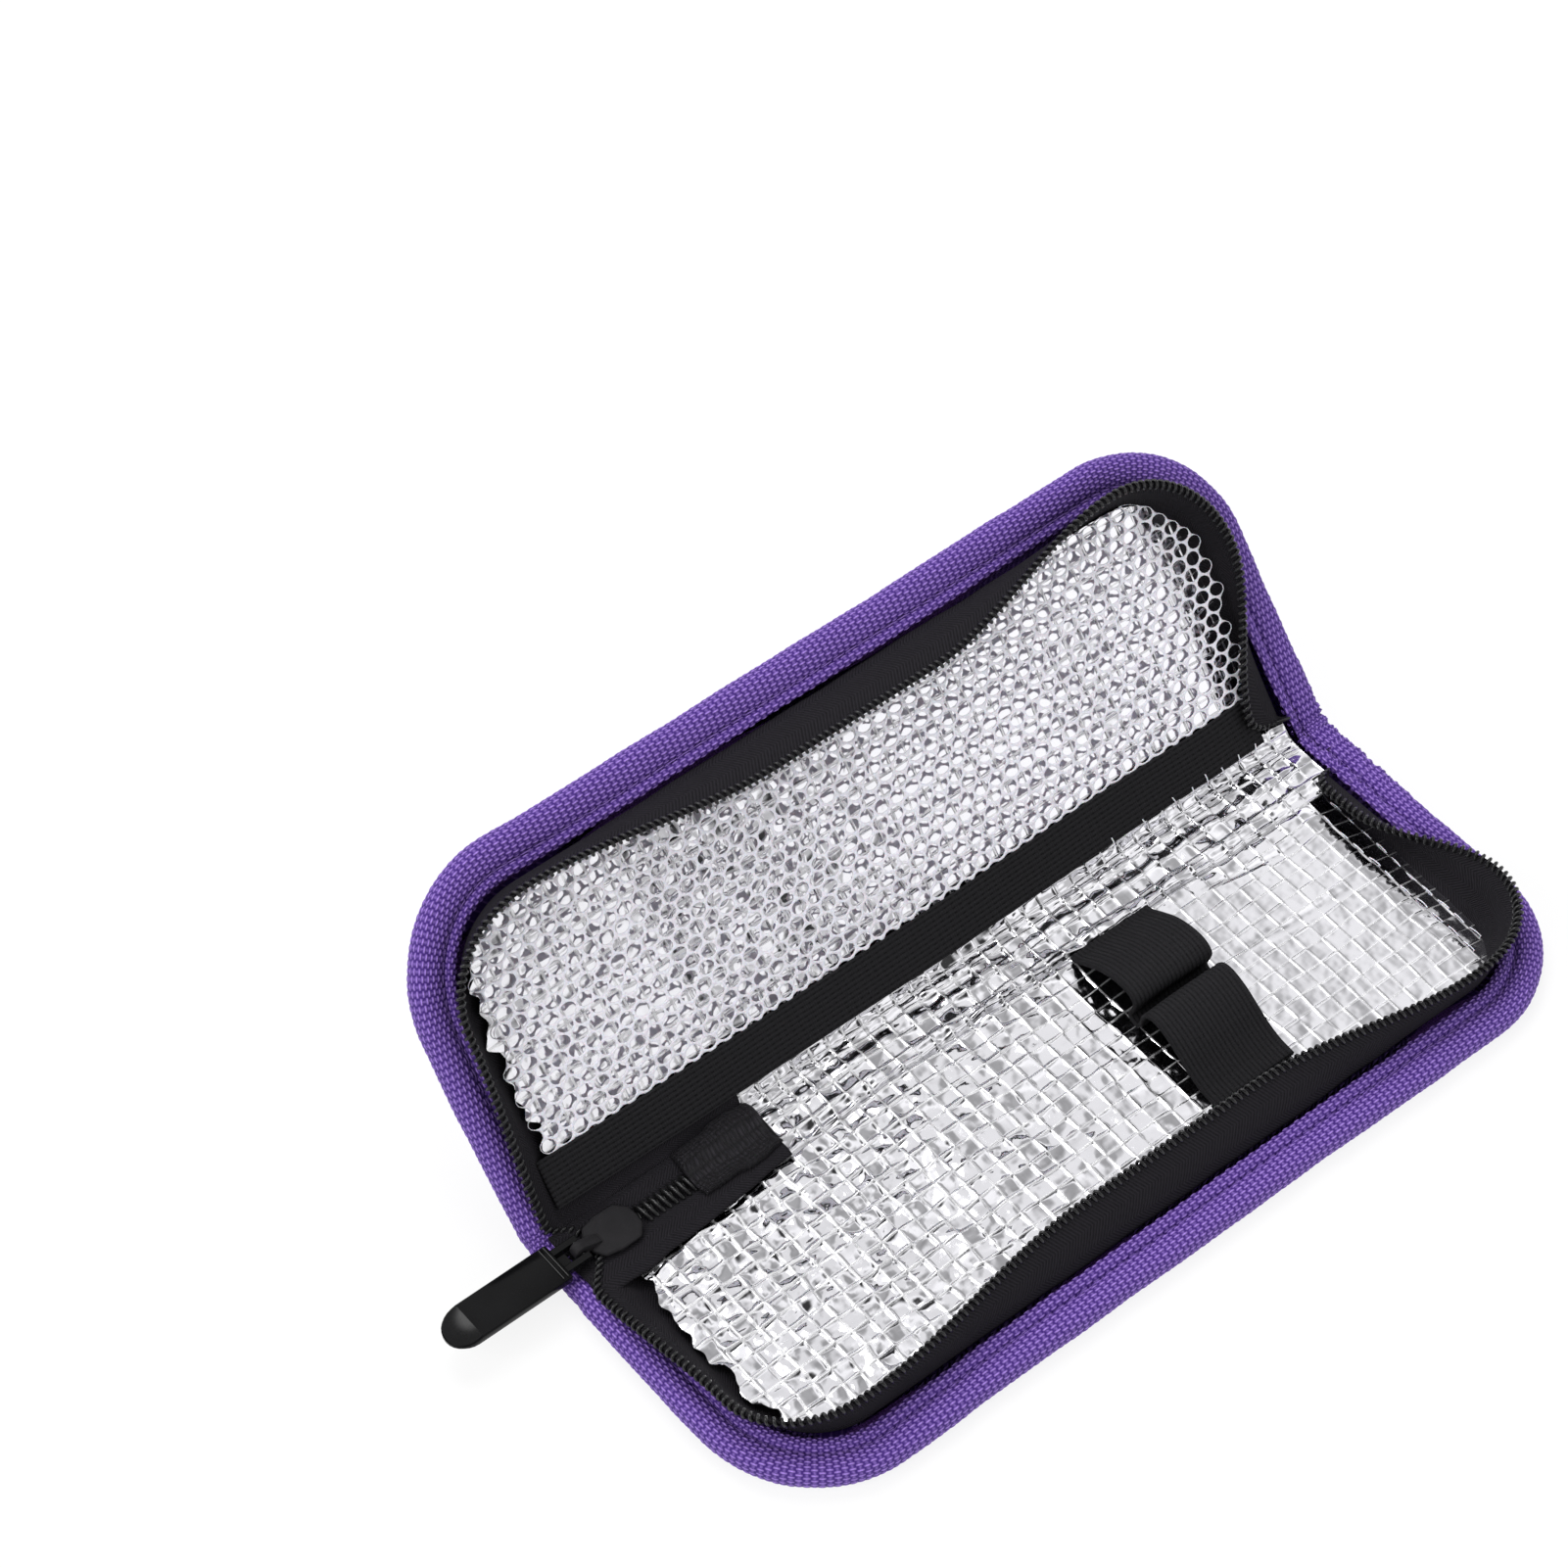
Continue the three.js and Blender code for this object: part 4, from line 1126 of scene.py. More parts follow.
def make_foil(panel):
    low, high = panel_span(panel, FOIL_INSET)

    def clamp(x, t):
        t = np.clip(t, low, high)
        return np.clip(x, *foil_limits(panel, t)), t

    def keep(x, t):
        left, right = foil_limits(panel, t)
        return (x >= left) & (x <= right) & (t >= low) & (t <= high)

    def place(x, t):
        flat_x, flat_t = clamp(x, t)
        inner = edge_share(panel, flat_x, flat_t, FOIL_INSET, EDGE_RUN)
        seam = np.clip(np.abs(flat_t - MID_SPINE) / SEAM_RUN, 0, 1)
        drift_x = uneven("foil drift along", x, t) * inner
        drift_t = uneven("foil drift across", x, t) * seam * inner
        padded = ramp((from_fold(panel, t) + PADDED_FROM[panel.name]) / PADDED_RUN)
        end = END_RUN - (HALF_LENGTH - FOIL_INSET - flat_x)
        crown = END_CROWN * ramp(1 + end / CROWN_RUN) - END_DROP * np.clip(end / END_RUN, 0, 1)
        tucked = ramp((t - tail_edge(x) + TUCK_START) / TUCK_RUN) * ramp((TUCK_END - x) / TUCK_END_RUN)
        relief = np.maximum(foil_relief(x, t), FOIL_LOWEST)
        relief = relief * (EDGE_RELIEF + (1 - EDGE_RELIEF) * inner) * (1 - (1 - TUCK_RELIEF) * tucked)
        n = FOIL_HEIGHT + relief + crown * padded - (TUCK_DEPTH * tucked if panel is BASE else 0)
        return on_sheet(flat_x + drift_x, flat_t + drift_t, n)

    reach = HALF_LENGTH - FOIL_INSET
    columns = scrim_lines(-reach, reach, size("scrim_along"))
    rows = scrim_lines(low, high, size("scrim_across"))
    if panel is BASE:
        rows = np.sort(np.concatenate([rows, np.arange(*CREASE_REACH, CREASE_STEP)]))
        rows = rows[np.diff(rows, prepend=-math.inf) > CREASE_STEP / 3]
    mesh = mapped_grid(
        f"foil_{panel.name}", columns, rows, place, surface=clamp, keep=keep,
        # the crease mask is painted shade, which the foil's material reads
        masks={"crease": crease_painted_shade})
    piece = finish_piece(mesh)


THREAD_ROWS = (82.4, 86.4)  # x of the threads that lie free on the base's right end
THREAD_REACH = (12.0, 6.0)  # from the base's front edge, and from the fold
THREAD_RADIUS = 0.13
THREAD_LENGTH = 2.9
THREAD_PITCH = 4.4
THREAD_ARCH = 0.2
THREAD_CLEAR = 0.02  # above the foil
THREAD_END_GAP = 0.8  # to the edge of the foil
FREE_ENDS_FROM = 44.0
FREE_ENDS_INSET = 13.0
FREE_ENDS_MISSING = 0.4
FREE_END_START = 1.5  # before the elastic
FREE_END_LENGTH = 2.2
FREE_END_MORE = 0.9
FREE_END_LEAN = 0.3
FREE_END_SHARES = (0.0, 0.35, 0.7, 1.0)
FREE_END_RISE = (0.45, 0.8, 0.75)  # above the elastic, after the first point


def threads_on_base():
    lines = []
    share = np.linspace(0, 1, 6)
    arch = THREAD_ARCH * np.sin(math.pi * share) + THREAD_CLEAR
    front, back = THREAD_REACH
    for row, x in enumerate(THREAD_ROWS):
        fall = END_DROP * (1 - (HALF_LENGTH - FOIL_INSET - x) / END_RUN)
        for start in np.arange(-BASE.depth + front, -back, THREAD_PITCH) + row * THREAD_PITCH / 2:
            t = start + THREAD_LENGTH * share
            if x > half_at(BASE, -t, FOIL_INSET).min() - THREAD_END_GAP:
                continue
            sway = uneven("thread sway", t, np.full_like(t, x))
            lines.append(on_sheet(x + sway, t, FOIL_HEIGHT + END_CROWN - fall + arch))
    return lines


def threads_on_lid():
    lines = []
    share = np.array(FREE_END_SHARES)
    n = np.array([LINING_TOP + 0.1, *(ELASTIC_HEIGHT + rise for rise in FREE_END_RISE)])
    for k, x in enumerate(np.arange(FREE_ENDS_FROM, HALF_LENGTH - FREE_ENDS_INSET, size("scrim_along"))):
        lean, longer, missing = (cell_values(k, column, 18) for column in range(3))
        if missing > FREE_ENDS_MISSING:
            continue
        u = ELASTIC_START - FREE_END_START + share * (FREE_END_LENGTH + FREE_END_MORE * longer)
        lines.append(on_sheet(x + FREE_END_LEAN * lean * (u - u[0]), SPINE_WIDTH + u, n))
    return lines


def make_threads(panel):
    """Threads that lie free of the film: rows at the right end, cut ends at the elastic."""
    lines = threads_on_base() if panel is BASE else threads_on_lid()
    finish_piece(wires(f"foil_threads_{panel.name}", lines, THREAD_RADIUS))


# Webbing binding: inset and height round its section

OUTER_FACE = (
    (8.6, 1.0), (8.1, 0.42), (7.3, 0.3), (6.6, 0.8), (5.9, 0.32), (4.2, 0.3), (2.6, 0.32), (0.9, 0.75),
    (0.25, 2.0), (0.25, 3.3), (0.85, 4.5))
SECTIONS = {
    "base": OUTER_FACE + (
        (2.1, 5.1), (3.9, 5.05), (5.0, 4.65), (5.6, 3.8), (6.3, 4.75), (7.2, 5.05), (8.1, 4.8),
        (8.65, 4.3), (8.3, 3.95)),
    "lid": OUTER_FACE + (
        (2.2, 5.1), (4.2, 5.1), (5.5, 4.7), (6.2, 3.8), (7.0, 4.8), (8.0, 4.95), (8.65, 4.4),
        (8.3, 3.95)),
}
INNER_SECTION = (
    (8.3, 3.95), (7.0, 3.6), (5.3, 2.9), (3.2, 2.9), (1.2, 3.0), (1.2, 2.0), (1.8, 1.15), (4.5, 1.1),
    (7.6, 1.15), (8.6, 1.0))
INNER_STEP = 1.2
GROOVE = {"base": (5.6, 4.0), "lid": (6.2, 4.05)}  # inset and height of the inner stitches
OUTER_GROOVE = (6.6, 0.62)
WEAVE_STEPS = 2  # points across one row of yarn
BRICK_STEPS = 4  # points along one float
YARN_RISE = 0.2
LOWEST_YARN = 0.06
# The band wavers a little, and more and shorter beside the folds
WAVER = 0.12
WAVER_RUN = 6.0
FOLD_WAVER = 0.4
FOLD_WAVER_SHORTER = 2.5
FOLD_WAVER_WIDTH = 8.0
PRESS_DEPTH = 0.5
PRESS_RUN = 9.0
PRESS_FROM = 2.5  # only what lies higher is pressed
PRESS_RISE = 2.0
STITCH_SHARE = 0.78  # length of a stitch in its pitch
STITCH_RADIUS = 0.22
STITCH_PLACES = (0.0, 0.12, 0.5, 0.88, 1.0)
STITCH_LIFT = (-0.35, 0.1, 0.24, 0.1, -0.35)


def yarn_height(s, w):
    """The webbing's floats, from 0 to 1."""
    brick, row = size("webbing_brick"), size("webbing_row")
    i, j = np.floor(s / brick + SNAP), np.floor(w / row + SNAP)
    hump_s = np.clip(np.cos((s / brick - i - 0.5) * math.pi), 0, 1)
    hump_w = np.clip(np.cos((w / row - j - 0.5) * math.pi), 0, 1)
    return np.where((i + j) % 2 == 1, WEFT_SHARE * hump_s**3, np.sqrt(hump_s) * hump_w)


def pressed(s, height):
    """Heights on the binding, which the slider's end of the zip presses down at the left fold."""
    return height - PRESS_DEPTH * ramp((height - PRESS_FROM) / PRESS_RISE) * bell(s, PRESS_RUN)


def make_binding(panel):
    step = size("webbing_row") / WEAVE_STEPS
    outer = curve_through(SECTIONS[panel.name], step)
    section = np.vstack([outer, curve_through(INNER_SECTION, INNER_STEP)[1:]])
    normal = side_of(section)
    raised = np.arange(len(section)) < len(outer)

    def place(s, w):
        k = np.rint(w / step).astype(int)
        yarn = YARN_RISE * yarn_height(s, w) * raised[k]
        by_fold = bell(np.minimum(s, edge_length(panel) - s), FOLD_WAVER_WIDTH)
        waver = field(s, w, WAVER_RUN - FOLD_WAVER_SHORTER * by_fold, 21)
        waver = (WAVER + FOLD_WAVER * by_fold) * waver * raised[k]
        inset, height = (section[k] - normal[k] * (yarn + waver)[:, None]).T
        sway = uneven("binding sway", s)
        return by_edge(panel, s, inset + sway, pressed(s, np.maximum(height, LOWEST_YARN)))

    along = spaced(-MID_SPINE, edge_length(panel) + MID_SPINE, size("webbing_brick") / BRICK_STEPS)
    mesh = mapped_grid(f"binding_{panel.name}", along, np.arange(len(section)) * step, place)
    close_tube(mesh)
    finish_piece(mesh)


def make_stitches(panel):
    pitch = size("stitch_pitch")
    places, lift = np.array(STITCH_PLACES), np.array(STITCH_LIFT)
    lines = []
    for start in np.arange(-MID_SPINE + 1, edge_length(panel) + MID_SPINE - pitch, pitch):
        s = start + places * STITCH_SHARE * pitch
        sway = uneven("binding sway", s)
        for (inset, height), side in ((GROOVE[panel.name], 1), (OUTER_GROOVE, -1)):
            lines.append(by_edge(panel, s, inset + sway, pressed(s, height + side * lift)))
    mesh = wires(f"stitches_{panel.name}", lines, STITCH_RADIUS, 0)
    layer = mesh.uv_layers.active or mesh.uv_layers.new(name="surface")
    layer.name = "surface"
    finish_piece(mesh)


# Zip

TAPE_ENDS = {"base": (-5.5, 3.4), "lid": (-6.5, -6.2)}  # past the left and the right fold
TAPE_ROOT = 8.7  # inset of the tape from the outer edge
TAPE_FOOT_HEIGHT = 5.2
TAPE_UNDER = 15.6  # the tape's sewn edge, under the foil
TAPE_BEND = 8.5
TAPE_SEAM_HEIGHT = 1.7
TAPE_RISE_AT_FOLD = 1.6
TAPE_RISE_AT_FREE_EDGE = 7.7
TAPE_RISE_AT_SLIDER = 0.1
LEAN_AT_SLIDER = 0.2
LEAN_START = 3.0  # the lean at an end of the tape is reached here, and held up to LEAN_HELD
LEAN_HELD = 9.0
LEAN_RUN_LEFT = 55.0  # lengths of the free edge over which the lean changes
LEAN_RUN_RIGHT = 50.0
LOW_RUN = 18.0  # the tape lies low over this length beside the slider
END_CURL = 4.6  # length over which the right end tucks back under the binding
CURL_SINK = 0.9
TAPE_STEP = 0.9
TAPE_STEPS = 21
TAPE_WIDTH = 13.0
TAPE_THICKNESS = 0.45
BEND_LEAN = 0.3  # how far the bend at the seam follows the lean
KNEE_INSET = 0.5  # the knee over the binding, past the root
KNEE_LEAN = 0.12
KNEE_OUTWARD = 0.2
KNEE_LOW = 0.5
KNEE_HEIGHT = 0.4
KNEE_RISE = 0.35
PUCKER_RUN = 8.0
PUCKER_WAY = (0.6, 0.8)


def tape_line(panel, s):
    """Lean and rise of the tape's free edge along a panel."""
    left, before_left, after_left, middle, before_right, after_right, right = panel.lean
    straight, arc, free = edge_runs(panel)
    start, past = TAPE_ENDS[panel.name]
    corner = straight + arc
    total = edge_length(panel)
    places = (
        start, LEAN_START, LEAN_HELD, straight, corner, corner + LEAN_RUN_LEFT,
        corner + free - LEAN_RUN_RIGHT, corner + free, corner + free + arc, total - LEAN_HELD)
    values = (
        LEAN_AT_SLIDER, left, left, before_left, after_left, middle,
        middle, before_right, after_right, right)
    turn = 1 - np.clip((total + past - s) / END_CURL, 0, 1)
    lean = eased(s, places, values) * np.sqrt(1 - turn**2)
    out = np.clip(edge_path(panel, s)[1] / panel.depth, 0, 1)
    rise = TAPE_RISE_AT_FOLD + (TAPE_RISE_AT_FREE_EDGE - TAPE_RISE_AT_FOLD) * out
    off_slider = ramp((s + 1.0) / LOW_RUN)
    rise = rise * (1 - CURL_SINK * turn**2)
    return lean, rise * off_slider + TAPE_RISE_AT_SLIDER * (1 - off_slider)


def tape_section(panel, s, w):
    """Inset and height of the tape at a share w from its sewn edge to its free edge."""
    lean, rise = tape_line(panel, s)
    inward, outward = np.clip(lean, 0, None), np.clip(-lean, 0, None)
    low = np.clip(TAPE_RISE_AT_FOLD - rise, 0, None)
    knee = TAPE_ROOT + KNEE_INSET + KNEE_LEAN * lean + KNEE_OUTWARD * outward + KNEE_LOW * low
    knee_height = TAPE_FOOT_HEIGHT + KNEE_HEIGHT + KNEE_RISE * rise
    insets = (TAPE_UNDER, TAPE_BEND - BEND_LEAN * inward, knee, TAPE_ROOT + lean)
    heights = (TAPE_SEAM_HEIGHT, TAPE_SEAM_HEIGHT, knee_height, TAPE_FOOT_HEIGHT + rise)
    shares = ((1 - w) ** 3, 3 * w * (1 - w) ** 2, 3 * w**2 * (1 - w), w**3)
    pucker = uneven("tape pucker", s, w * PUCKER_RUN) * np.sin(math.pi * w)
    curves = (sum(share * value for share, value in zip(shares, row)) for row in (insets, heights))
    return np.stack([curve + pucker * way for curve, way in zip(curves, PUCKER_WAY)], 1)


def make_tape(panel):
    start, past = TAPE_ENDS[panel.name]
    along = spaced(start, edge_length(panel) + past, TAPE_STEP)
    across = np.linspace(0, 1, TAPE_STEPS)

    def place(s, w):
        return by_edge(panel, s, *tape_section(panel, s, w).T)

    mesh = mapped_grid(
        f"zip_tape_{panel.name}", along, across, place, surface=lambda s, w: (s, TAPE_WIDTH * w))
    piece = finish_piece(mesh, TAPE_THICKNESS)


COIL_HALF_WIDTH = 0.85
COIL_HALF_DEPTH = 0.62
COIL_BACK = 0.35  # the coil's middle, back from the tape's edge
COIL_POINTS = 10  # points in one turn
NEAR_EDGE = 0.96  # share of the tape's width that tells which way its edge points


def helix(line, out, pitch, half_width, half_depth, turn_by=0.0):
    """A wire wound round a line of points; out is the direction of the teeth."""
    side = unit(np.cross(unit(np.gradient(line, axis=0)), out))
    phase = lengths_along(line) / pitch * math.tau + turn_by
    wound = out * (half_width * np.cos(phase))[:, None] + side * (half_depth * np.sin(phase))[:, None]
    return line + wound


def make_coil(panel):
    pitch = size("coil_pitch")
    start, past = TAPE_ENDS[panel.name]
    s = spaced(start, edge_length(panel) + past, pitch / COIL_POINTS)
    edge, before = (tape_section(panel, s, np.full_like(s, w)) for w in (1.0, NEAR_EDGE))
    out = unit(edge - before)
    line = by_edge(panel, s, *(edge - out * COIL_BACK).T)
    teeth = unit(by_edge(panel, s, *(edge + out).T) - line)
    wound = helix(line, teeth, pitch, COIL_HALF_WIDTH, COIL_HALF_DEPTH)
    finish_piece(wires(f"zip_coil_{panel.name}", [wound], size("coil_wire")))


TAIL_LEFT = -80.0
TAIL_RIGHT = -64.0
TAIL_HEIGHT = 5.1
TAIL_APART = 0.35  # each coil's middle, off the middle of the zip
TAIL_HALF_WIDTH = 1.85
TAIL_HALF_DEPTH = 0.6


def make_tail_coils():
    """The closed end of the zip: two coils that grip each other."""
    pitch = size("coil_pitch")
    x = spaced(TAIL_LEFT, TAIL_RIGHT, pitch / COIL_POINTS)
    lines = []
    for side in (-1, 1):
        line = np.stack([x, np.full_like(x, ZIP_Y + side * TAIL_APART), np.full_like(x, TAIL_HEIGHT)], 1)
        out = np.tile(np.array([0.0, -side, 0.0]), (len(x), 1))
        lines.append(helix(line, out, pitch, TAIL_HALF_WIDTH, TAIL_HALF_DEPTH, side * math.pi / 2))
    finish_piece(wires("zip_tail_coils", lines, size("coil_wire")))


TAIL_TAPE_FAR = SPINE_WIDTH - 1.2
TAIL_TAPE_WEAVE = 18.0  # length of weave that its width shows
TAIL_TAPE_STEP = 0.8
TAIL_TAPE_STEPS = 29
TAIL_TAPE_RISE = 0.55
TAIL_BED = 1.0  # how deep the coils lie in the tape
TAIL_BED_WIDTH = 3.0
TAIL_EDGE_DROP = 0.5
TAIL_EDGE_SHARE = 0.1


def make_tail_tape():
    """The tape beside the closed end of the zip."""

    def place(x, share):
        lower = tail_edge(x) + uneven("tail edge", x)
        t = lower + (TAIL_TAPE_FAR - lower) * share
        bed = TAIL_BED * bell(t - (ZIP_Y - SPINE_FOLD), TAIL_BED_WIDTH)
        drop = TAIL_EDGE_DROP * (1 - ramp(share / TAIL_EDGE_SHARE))
        return on_sheet(x, t, LINING_TOP + TAIL_TAPE_RISE - bed + uneven("tail pucker", x, t) - drop)

    along = spaced(TAIL_TAPE_LEFT, TAIL_TAPE_RIGHT, TAIL_TAPE_STEP)
    across = np.linspace(0, 1, TAIL_TAPE_STEPS)
    mesh = mapped_grid(
        "zip_tail_tape", along, across, place, surface=lambda x, w: (x, TAIL_TAPE_WEAVE * w))
    piece = finish_piece(mesh, TAPE_THICKNESS)


PATCH_ROWS = (9.5, SPINE_WIDTH, SPINE_WIDTH + 8.0)  # t of its lower edge, the fold and its upper edge
PATCH_LEFT = (-96.0, -93.5, -91.5)  # its left end at these
PATCH_RIGHT = TAIL_TAPE_RIGHT - 0.8
PATCH_WEAVE = 46.0  # length of weave that its width shows
PATCH_STEP = 0.6
PATCH_STEPS = 57
PATCH_RISE = 0.2
PATCH_THICKNESS = 0.4


def make_corner_patch():
    """Zip tape that runs from the spine up under the elastic, beside the closed end."""

    def place(share, t):
        left = eased(t, PATCH_ROWS, PATCH_LEFT)
        right = PATCH_RIGHT + uneven("patch edge", t)
        x = left + (right - left) * share
        return on_sheet(x, t, LINING_TOP + PATCH_RISE + uneven("patch pucker", x, t))

    low, _, high = PATCH_ROWS
    along, across = np.linspace(0, 1, PATCH_STEPS), spaced(low, high, PATCH_STEP)
    mesh = mapped_grid(
        "zip_corner_patch", along, across, place, surface=lambda share, t: (PATCH_WEAVE * share, t))
    piece = finish_piece(mesh, PATCH_THICKNESS)


TAB_LEFT = -68.0
TAB_RIGHT = -49.5
TAB_HALF = 6.0
TAB_MIDDLE = ZIP_Y + 1.0
TAB_SLANT = 0.03
TAB_HEIGHT = LINING_TOP + 1.0
TAB_END_RUN = 1.0  # length over which an end is pressed flat
TAB_END_SHARE = 0.1
TAB_LUMP_RUN = 14.0
TAB_WEAVE = 4.4 * TAB_HALF  # length of weave round the tab
TAB_STEP = 0.5
TAB_STEPS = 41


def squarer(wave_value):
    """A sine or cosine that stays longer near its ends, for a flat round section."""
    return np.sign(wave_value) * np.abs(wave_value) ** 0.5


def make_tab():
    """The soft woven tab that is folded over the end of the zip."""

    def place(x, share):
        angle = share * math.tau
        end = np.minimum(x - TAB_LEFT, TAB_RIGHT - x)
        full = np.clip(end / TAB_END_RUN, TAB_END_SHARE, 1) ** 0.5
        lump = 1 + uneven("tab lumps", x, share * TAB_LUMP_RUN)
        half = TAB_HALF + uneven("tab width", x)
        y = TAB_MIDDLE + TAB_SLANT * (x - TAB_LEFT) + half * squarer(np.cos(angle))
        z = TAB_HEIGHT + full * lump * squarer(np.sin(angle))
        return np.stack([x + uneven("tab ends", y), y, z], 1)

    along, around = spaced(TAB_LEFT, TAB_RIGHT, TAB_STEP), np.linspace(0, 1, TAB_STEPS)
    mesh = mapped_grid(
        "zip_end_tab_cloth", along, around, place, surface=lambda x, w: (x, TAB_WEAVE * w))
    close_tube(mesh)
    finish_piece(mesh)


# Slider and puller

SLIDER_PLATE = 0.75  # thickness of its two plates
SLIDER_HEIGHT = 4.75
SLIDER_SHARP = 35  # degrees
NOSE_FROM_PIN = 1.9
TAIL_CLEAR = 0.2  # inside the CAD box
ROOF_BEVEL = 0.5
BOTTOM_BEVEL = 0.3
POST_SUNK = 0.4 * SLIDER_PLATE  # how far the post and the flanges go into the plates
FLANGE_SUNK = 0.5 * SLIDER_PLATE
FLANGE_HEIGHT = 0.55
LUG_HALF = 1.1
LUG_RADIUS = 1.6
LUG_STEPS = 8
LUG_BEVEL = 0.28
LUG_SHARP = 60  # degrees


def half_round(x, y, radius, steps):
    """Points on the left half of a circle."""
    angles = np.linspace(math.pi / 2, 3 * math.pi / 2, steps + 1)
    return [(x + radius * math.cos(angle), y + radius * math.sin(angle)) for angle in angles]


def rectangle(left, right, low, high):
    return [(left, low), (right, low), (right, high), (left, high)]


def make_slider():
    """Two plates with low flanges, joined by a post, and the lug on top."""
    low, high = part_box("zip_slider")
    left, right = PIN_X + NOSE_FROM_PIN, high.x / MM - TAIL_CLEAR
    half = (high.y - low.y) / MM / 2
    bottom = low.z / MM
    roof = bottom + SLIDER_HEIGHT
    inner_low, inner_high = bottom + SLIDER_PLATE, roof - SLIDER_PLATE
    below = [
        (left, -1.7), (left + 1.5, -0.86 * half), (left + 4.8, -1.03 * half),
        (right - 2.6, -half), (right - 0.7, -0.5 * half)]
    outline = below + [(right - 0.4, 0.0)] + [(x, -y) for x, y in reversed(below)]
    bm = bmesh.new()
    prism(bm, outline, inner_high, roof, ROOF_BEVEL, middle=ZIP_Y)
    prism(bm, outline, bottom, inner_low, BOTTOM_BEVEL, middle=ZIP_Y)
    post = [(left - 0.6, -1.1), (left, 0), (left - 0.6, 1.1)]
    prism(bm, post, inner_low - POST_SUNK, inner_high + POST_SUNK, middle=ZIP_Y)
    near, far = left + 4.5, right - 1.8
    shares = ((near, 0.98), (far, 0.82), (far, 0.66), (near, 0.8))
    for side in (-1, 1):
        flange = [(x, side * half * share) for x, share in shares][::side]
        prism(bm, flange, inner_high - FLANGE_HEIGHT, inner_high + FLANGE_SUNK, middle=ZIP_Y)
        prism(bm, flange, inner_low - FLANGE_SUNK, inner_low + FLANGE_HEIGHT, middle=ZIP_Y)
    lug(bm, left, roof)
    piece = finish_piece(mesh_from(bm, "zip_slider_body"))
    piece.data.set_sharp_from_angle(angle=math.radians(SLIDER_SHARP))


def lug(bm, left, roof):
    """The arched lug whose eye takes the puller's pin."""
    foot, back = roof - 0.5, left + 2.8
    profile = [(back, foot), (back, roof + 0.35), (PIN_X + 0.6, PIN_Z + LUG_RADIUS)]
    profile += half_round(PIN_X, PIN_Z, LUG_RADIUS, LUG_STEPS)
    profile += [(PIN_X + (left - PIN_X) * 0.7, PIN_Z - 1.35), (left, foot)]
    side = [(x, ZIP_Y - LUG_HALF, z) for x, z in profile]
    extrude_outline(bm, side, (0, 2 * LUG_HALF, 0), LUG_BEVEL, 2, LUG_SHARP)


PULL_HALF = 4.4
PULL_THICKNESS = 2.0
PULL_STEPS = 14
PULL_BEVEL = 0.5
PULL_SHARP = 13  # degrees
HEAD_GAP = 4.6  # from the pin to the flat plate
LINES_FROM_HEAD = (1.0, 2.0)
LINE_WIDTH = 0.5
LINE_HALF = PULL_HALF - 0.3
LINE_RISE = 0.3
LINE_SUNK = 0.4
LINE_BEVEL = 0.24
NECK_HALF = 2.9
NECK_BEVEL = 0.2
NECK_ROOT = 0.5  # how far the neck goes into the plate
NECK_LOW = 0.85  # below the pin's middle
NECK_HIGH = 0.75
NECK_PAST_PIN = 0.95
NECK_FLOOR = 2.6  # the neck's eye is open from here to the pin
EYE_HALF = 1.5
FLOOR_LAP = 0.2
FLOOR_TOP = 0.2  # below the pin's middle
TIP_FACET = 5.4
TIP_SLOPE = 0.3
PIN_RADIUS = 0.7
PIN_HALF = NECK_HALF - 0.3
PIN_SIDES = 20


def make_puller():
    """A flat plate with a sloping tip and two raised lines, and a thin neck that holds the pin."""
    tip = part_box("pull_tab")[0].x / MM
    bottom = PIN_Z - PULL_THICKNESS / 2
    top = PIN_Z + PULL_THICKNESS / 2
    head = PIN_X - HEAD_GAP
    outline = [(head, -PULL_HALF), (head, PULL_HALF)]
    outline += half_round(tip + PULL_HALF, 0.0, PULL_HALF, PULL_STEPS)
    bm = bmesh.new()
    prism(bm, outline, bottom, top, PULL_BEVEL, 4, ZIP_Y)
    slope_tip(bm, tip + TIP_FACET)
    for back in LINES_FROM_HEAD:
        line = rectangle(head - back, head - back + LINE_WIDTH, -LINE_HALF, LINE_HALF)
        prism(bm, line, top - LINE_SUNK, top + LINE_RISE, LINE_BEVEL, 3, ZIP_Y)
    root = head - NECK_ROOT
    for near, far in ((-NECK_HALF, -EYE_HALF), (EYE_HALF, NECK_HALF)):
        prong = rectangle(root, PIN_X + NECK_PAST_PIN, near, far)
        prism(bm, prong, PIN_Z - NECK_LOW, PIN_Z + NECK_HIGH, NECK_BEVEL, 2, ZIP_Y)
    half = EYE_HALF + FLOOR_LAP
    floor = rectangle(root, PIN_X - NECK_FLOOR, -half, half)
    prism(bm, floor, PIN_Z - NECK_LOW, PIN_Z - FLOOR_TOP, middle=ZIP_Y)
    pin = bmesh.ops.create_cone(
        bm, cap_ends=True, segments=PIN_SIDES, radius1=PIN_RADIUS * MM, radius2=PIN_RADIUS * MM,
        depth=2 * PIN_HALF * MM)["verts"]
    bmesh.ops.rotate(bm, verts=pin, cent=(0, 0, 0), matrix=Matrix.Rotation(math.pi / 2, 3, "X"))
    bmesh.ops.translate(bm, verts=pin, vec=(PIN_X * MM, ZIP_Y * MM, PIN_Z * MM))
    piece = finish_piece(mesh_from(bm, "puller_tab"))
    piece.data.set_sharp_from_angle(angle=math.radians(PULL_SHARP))


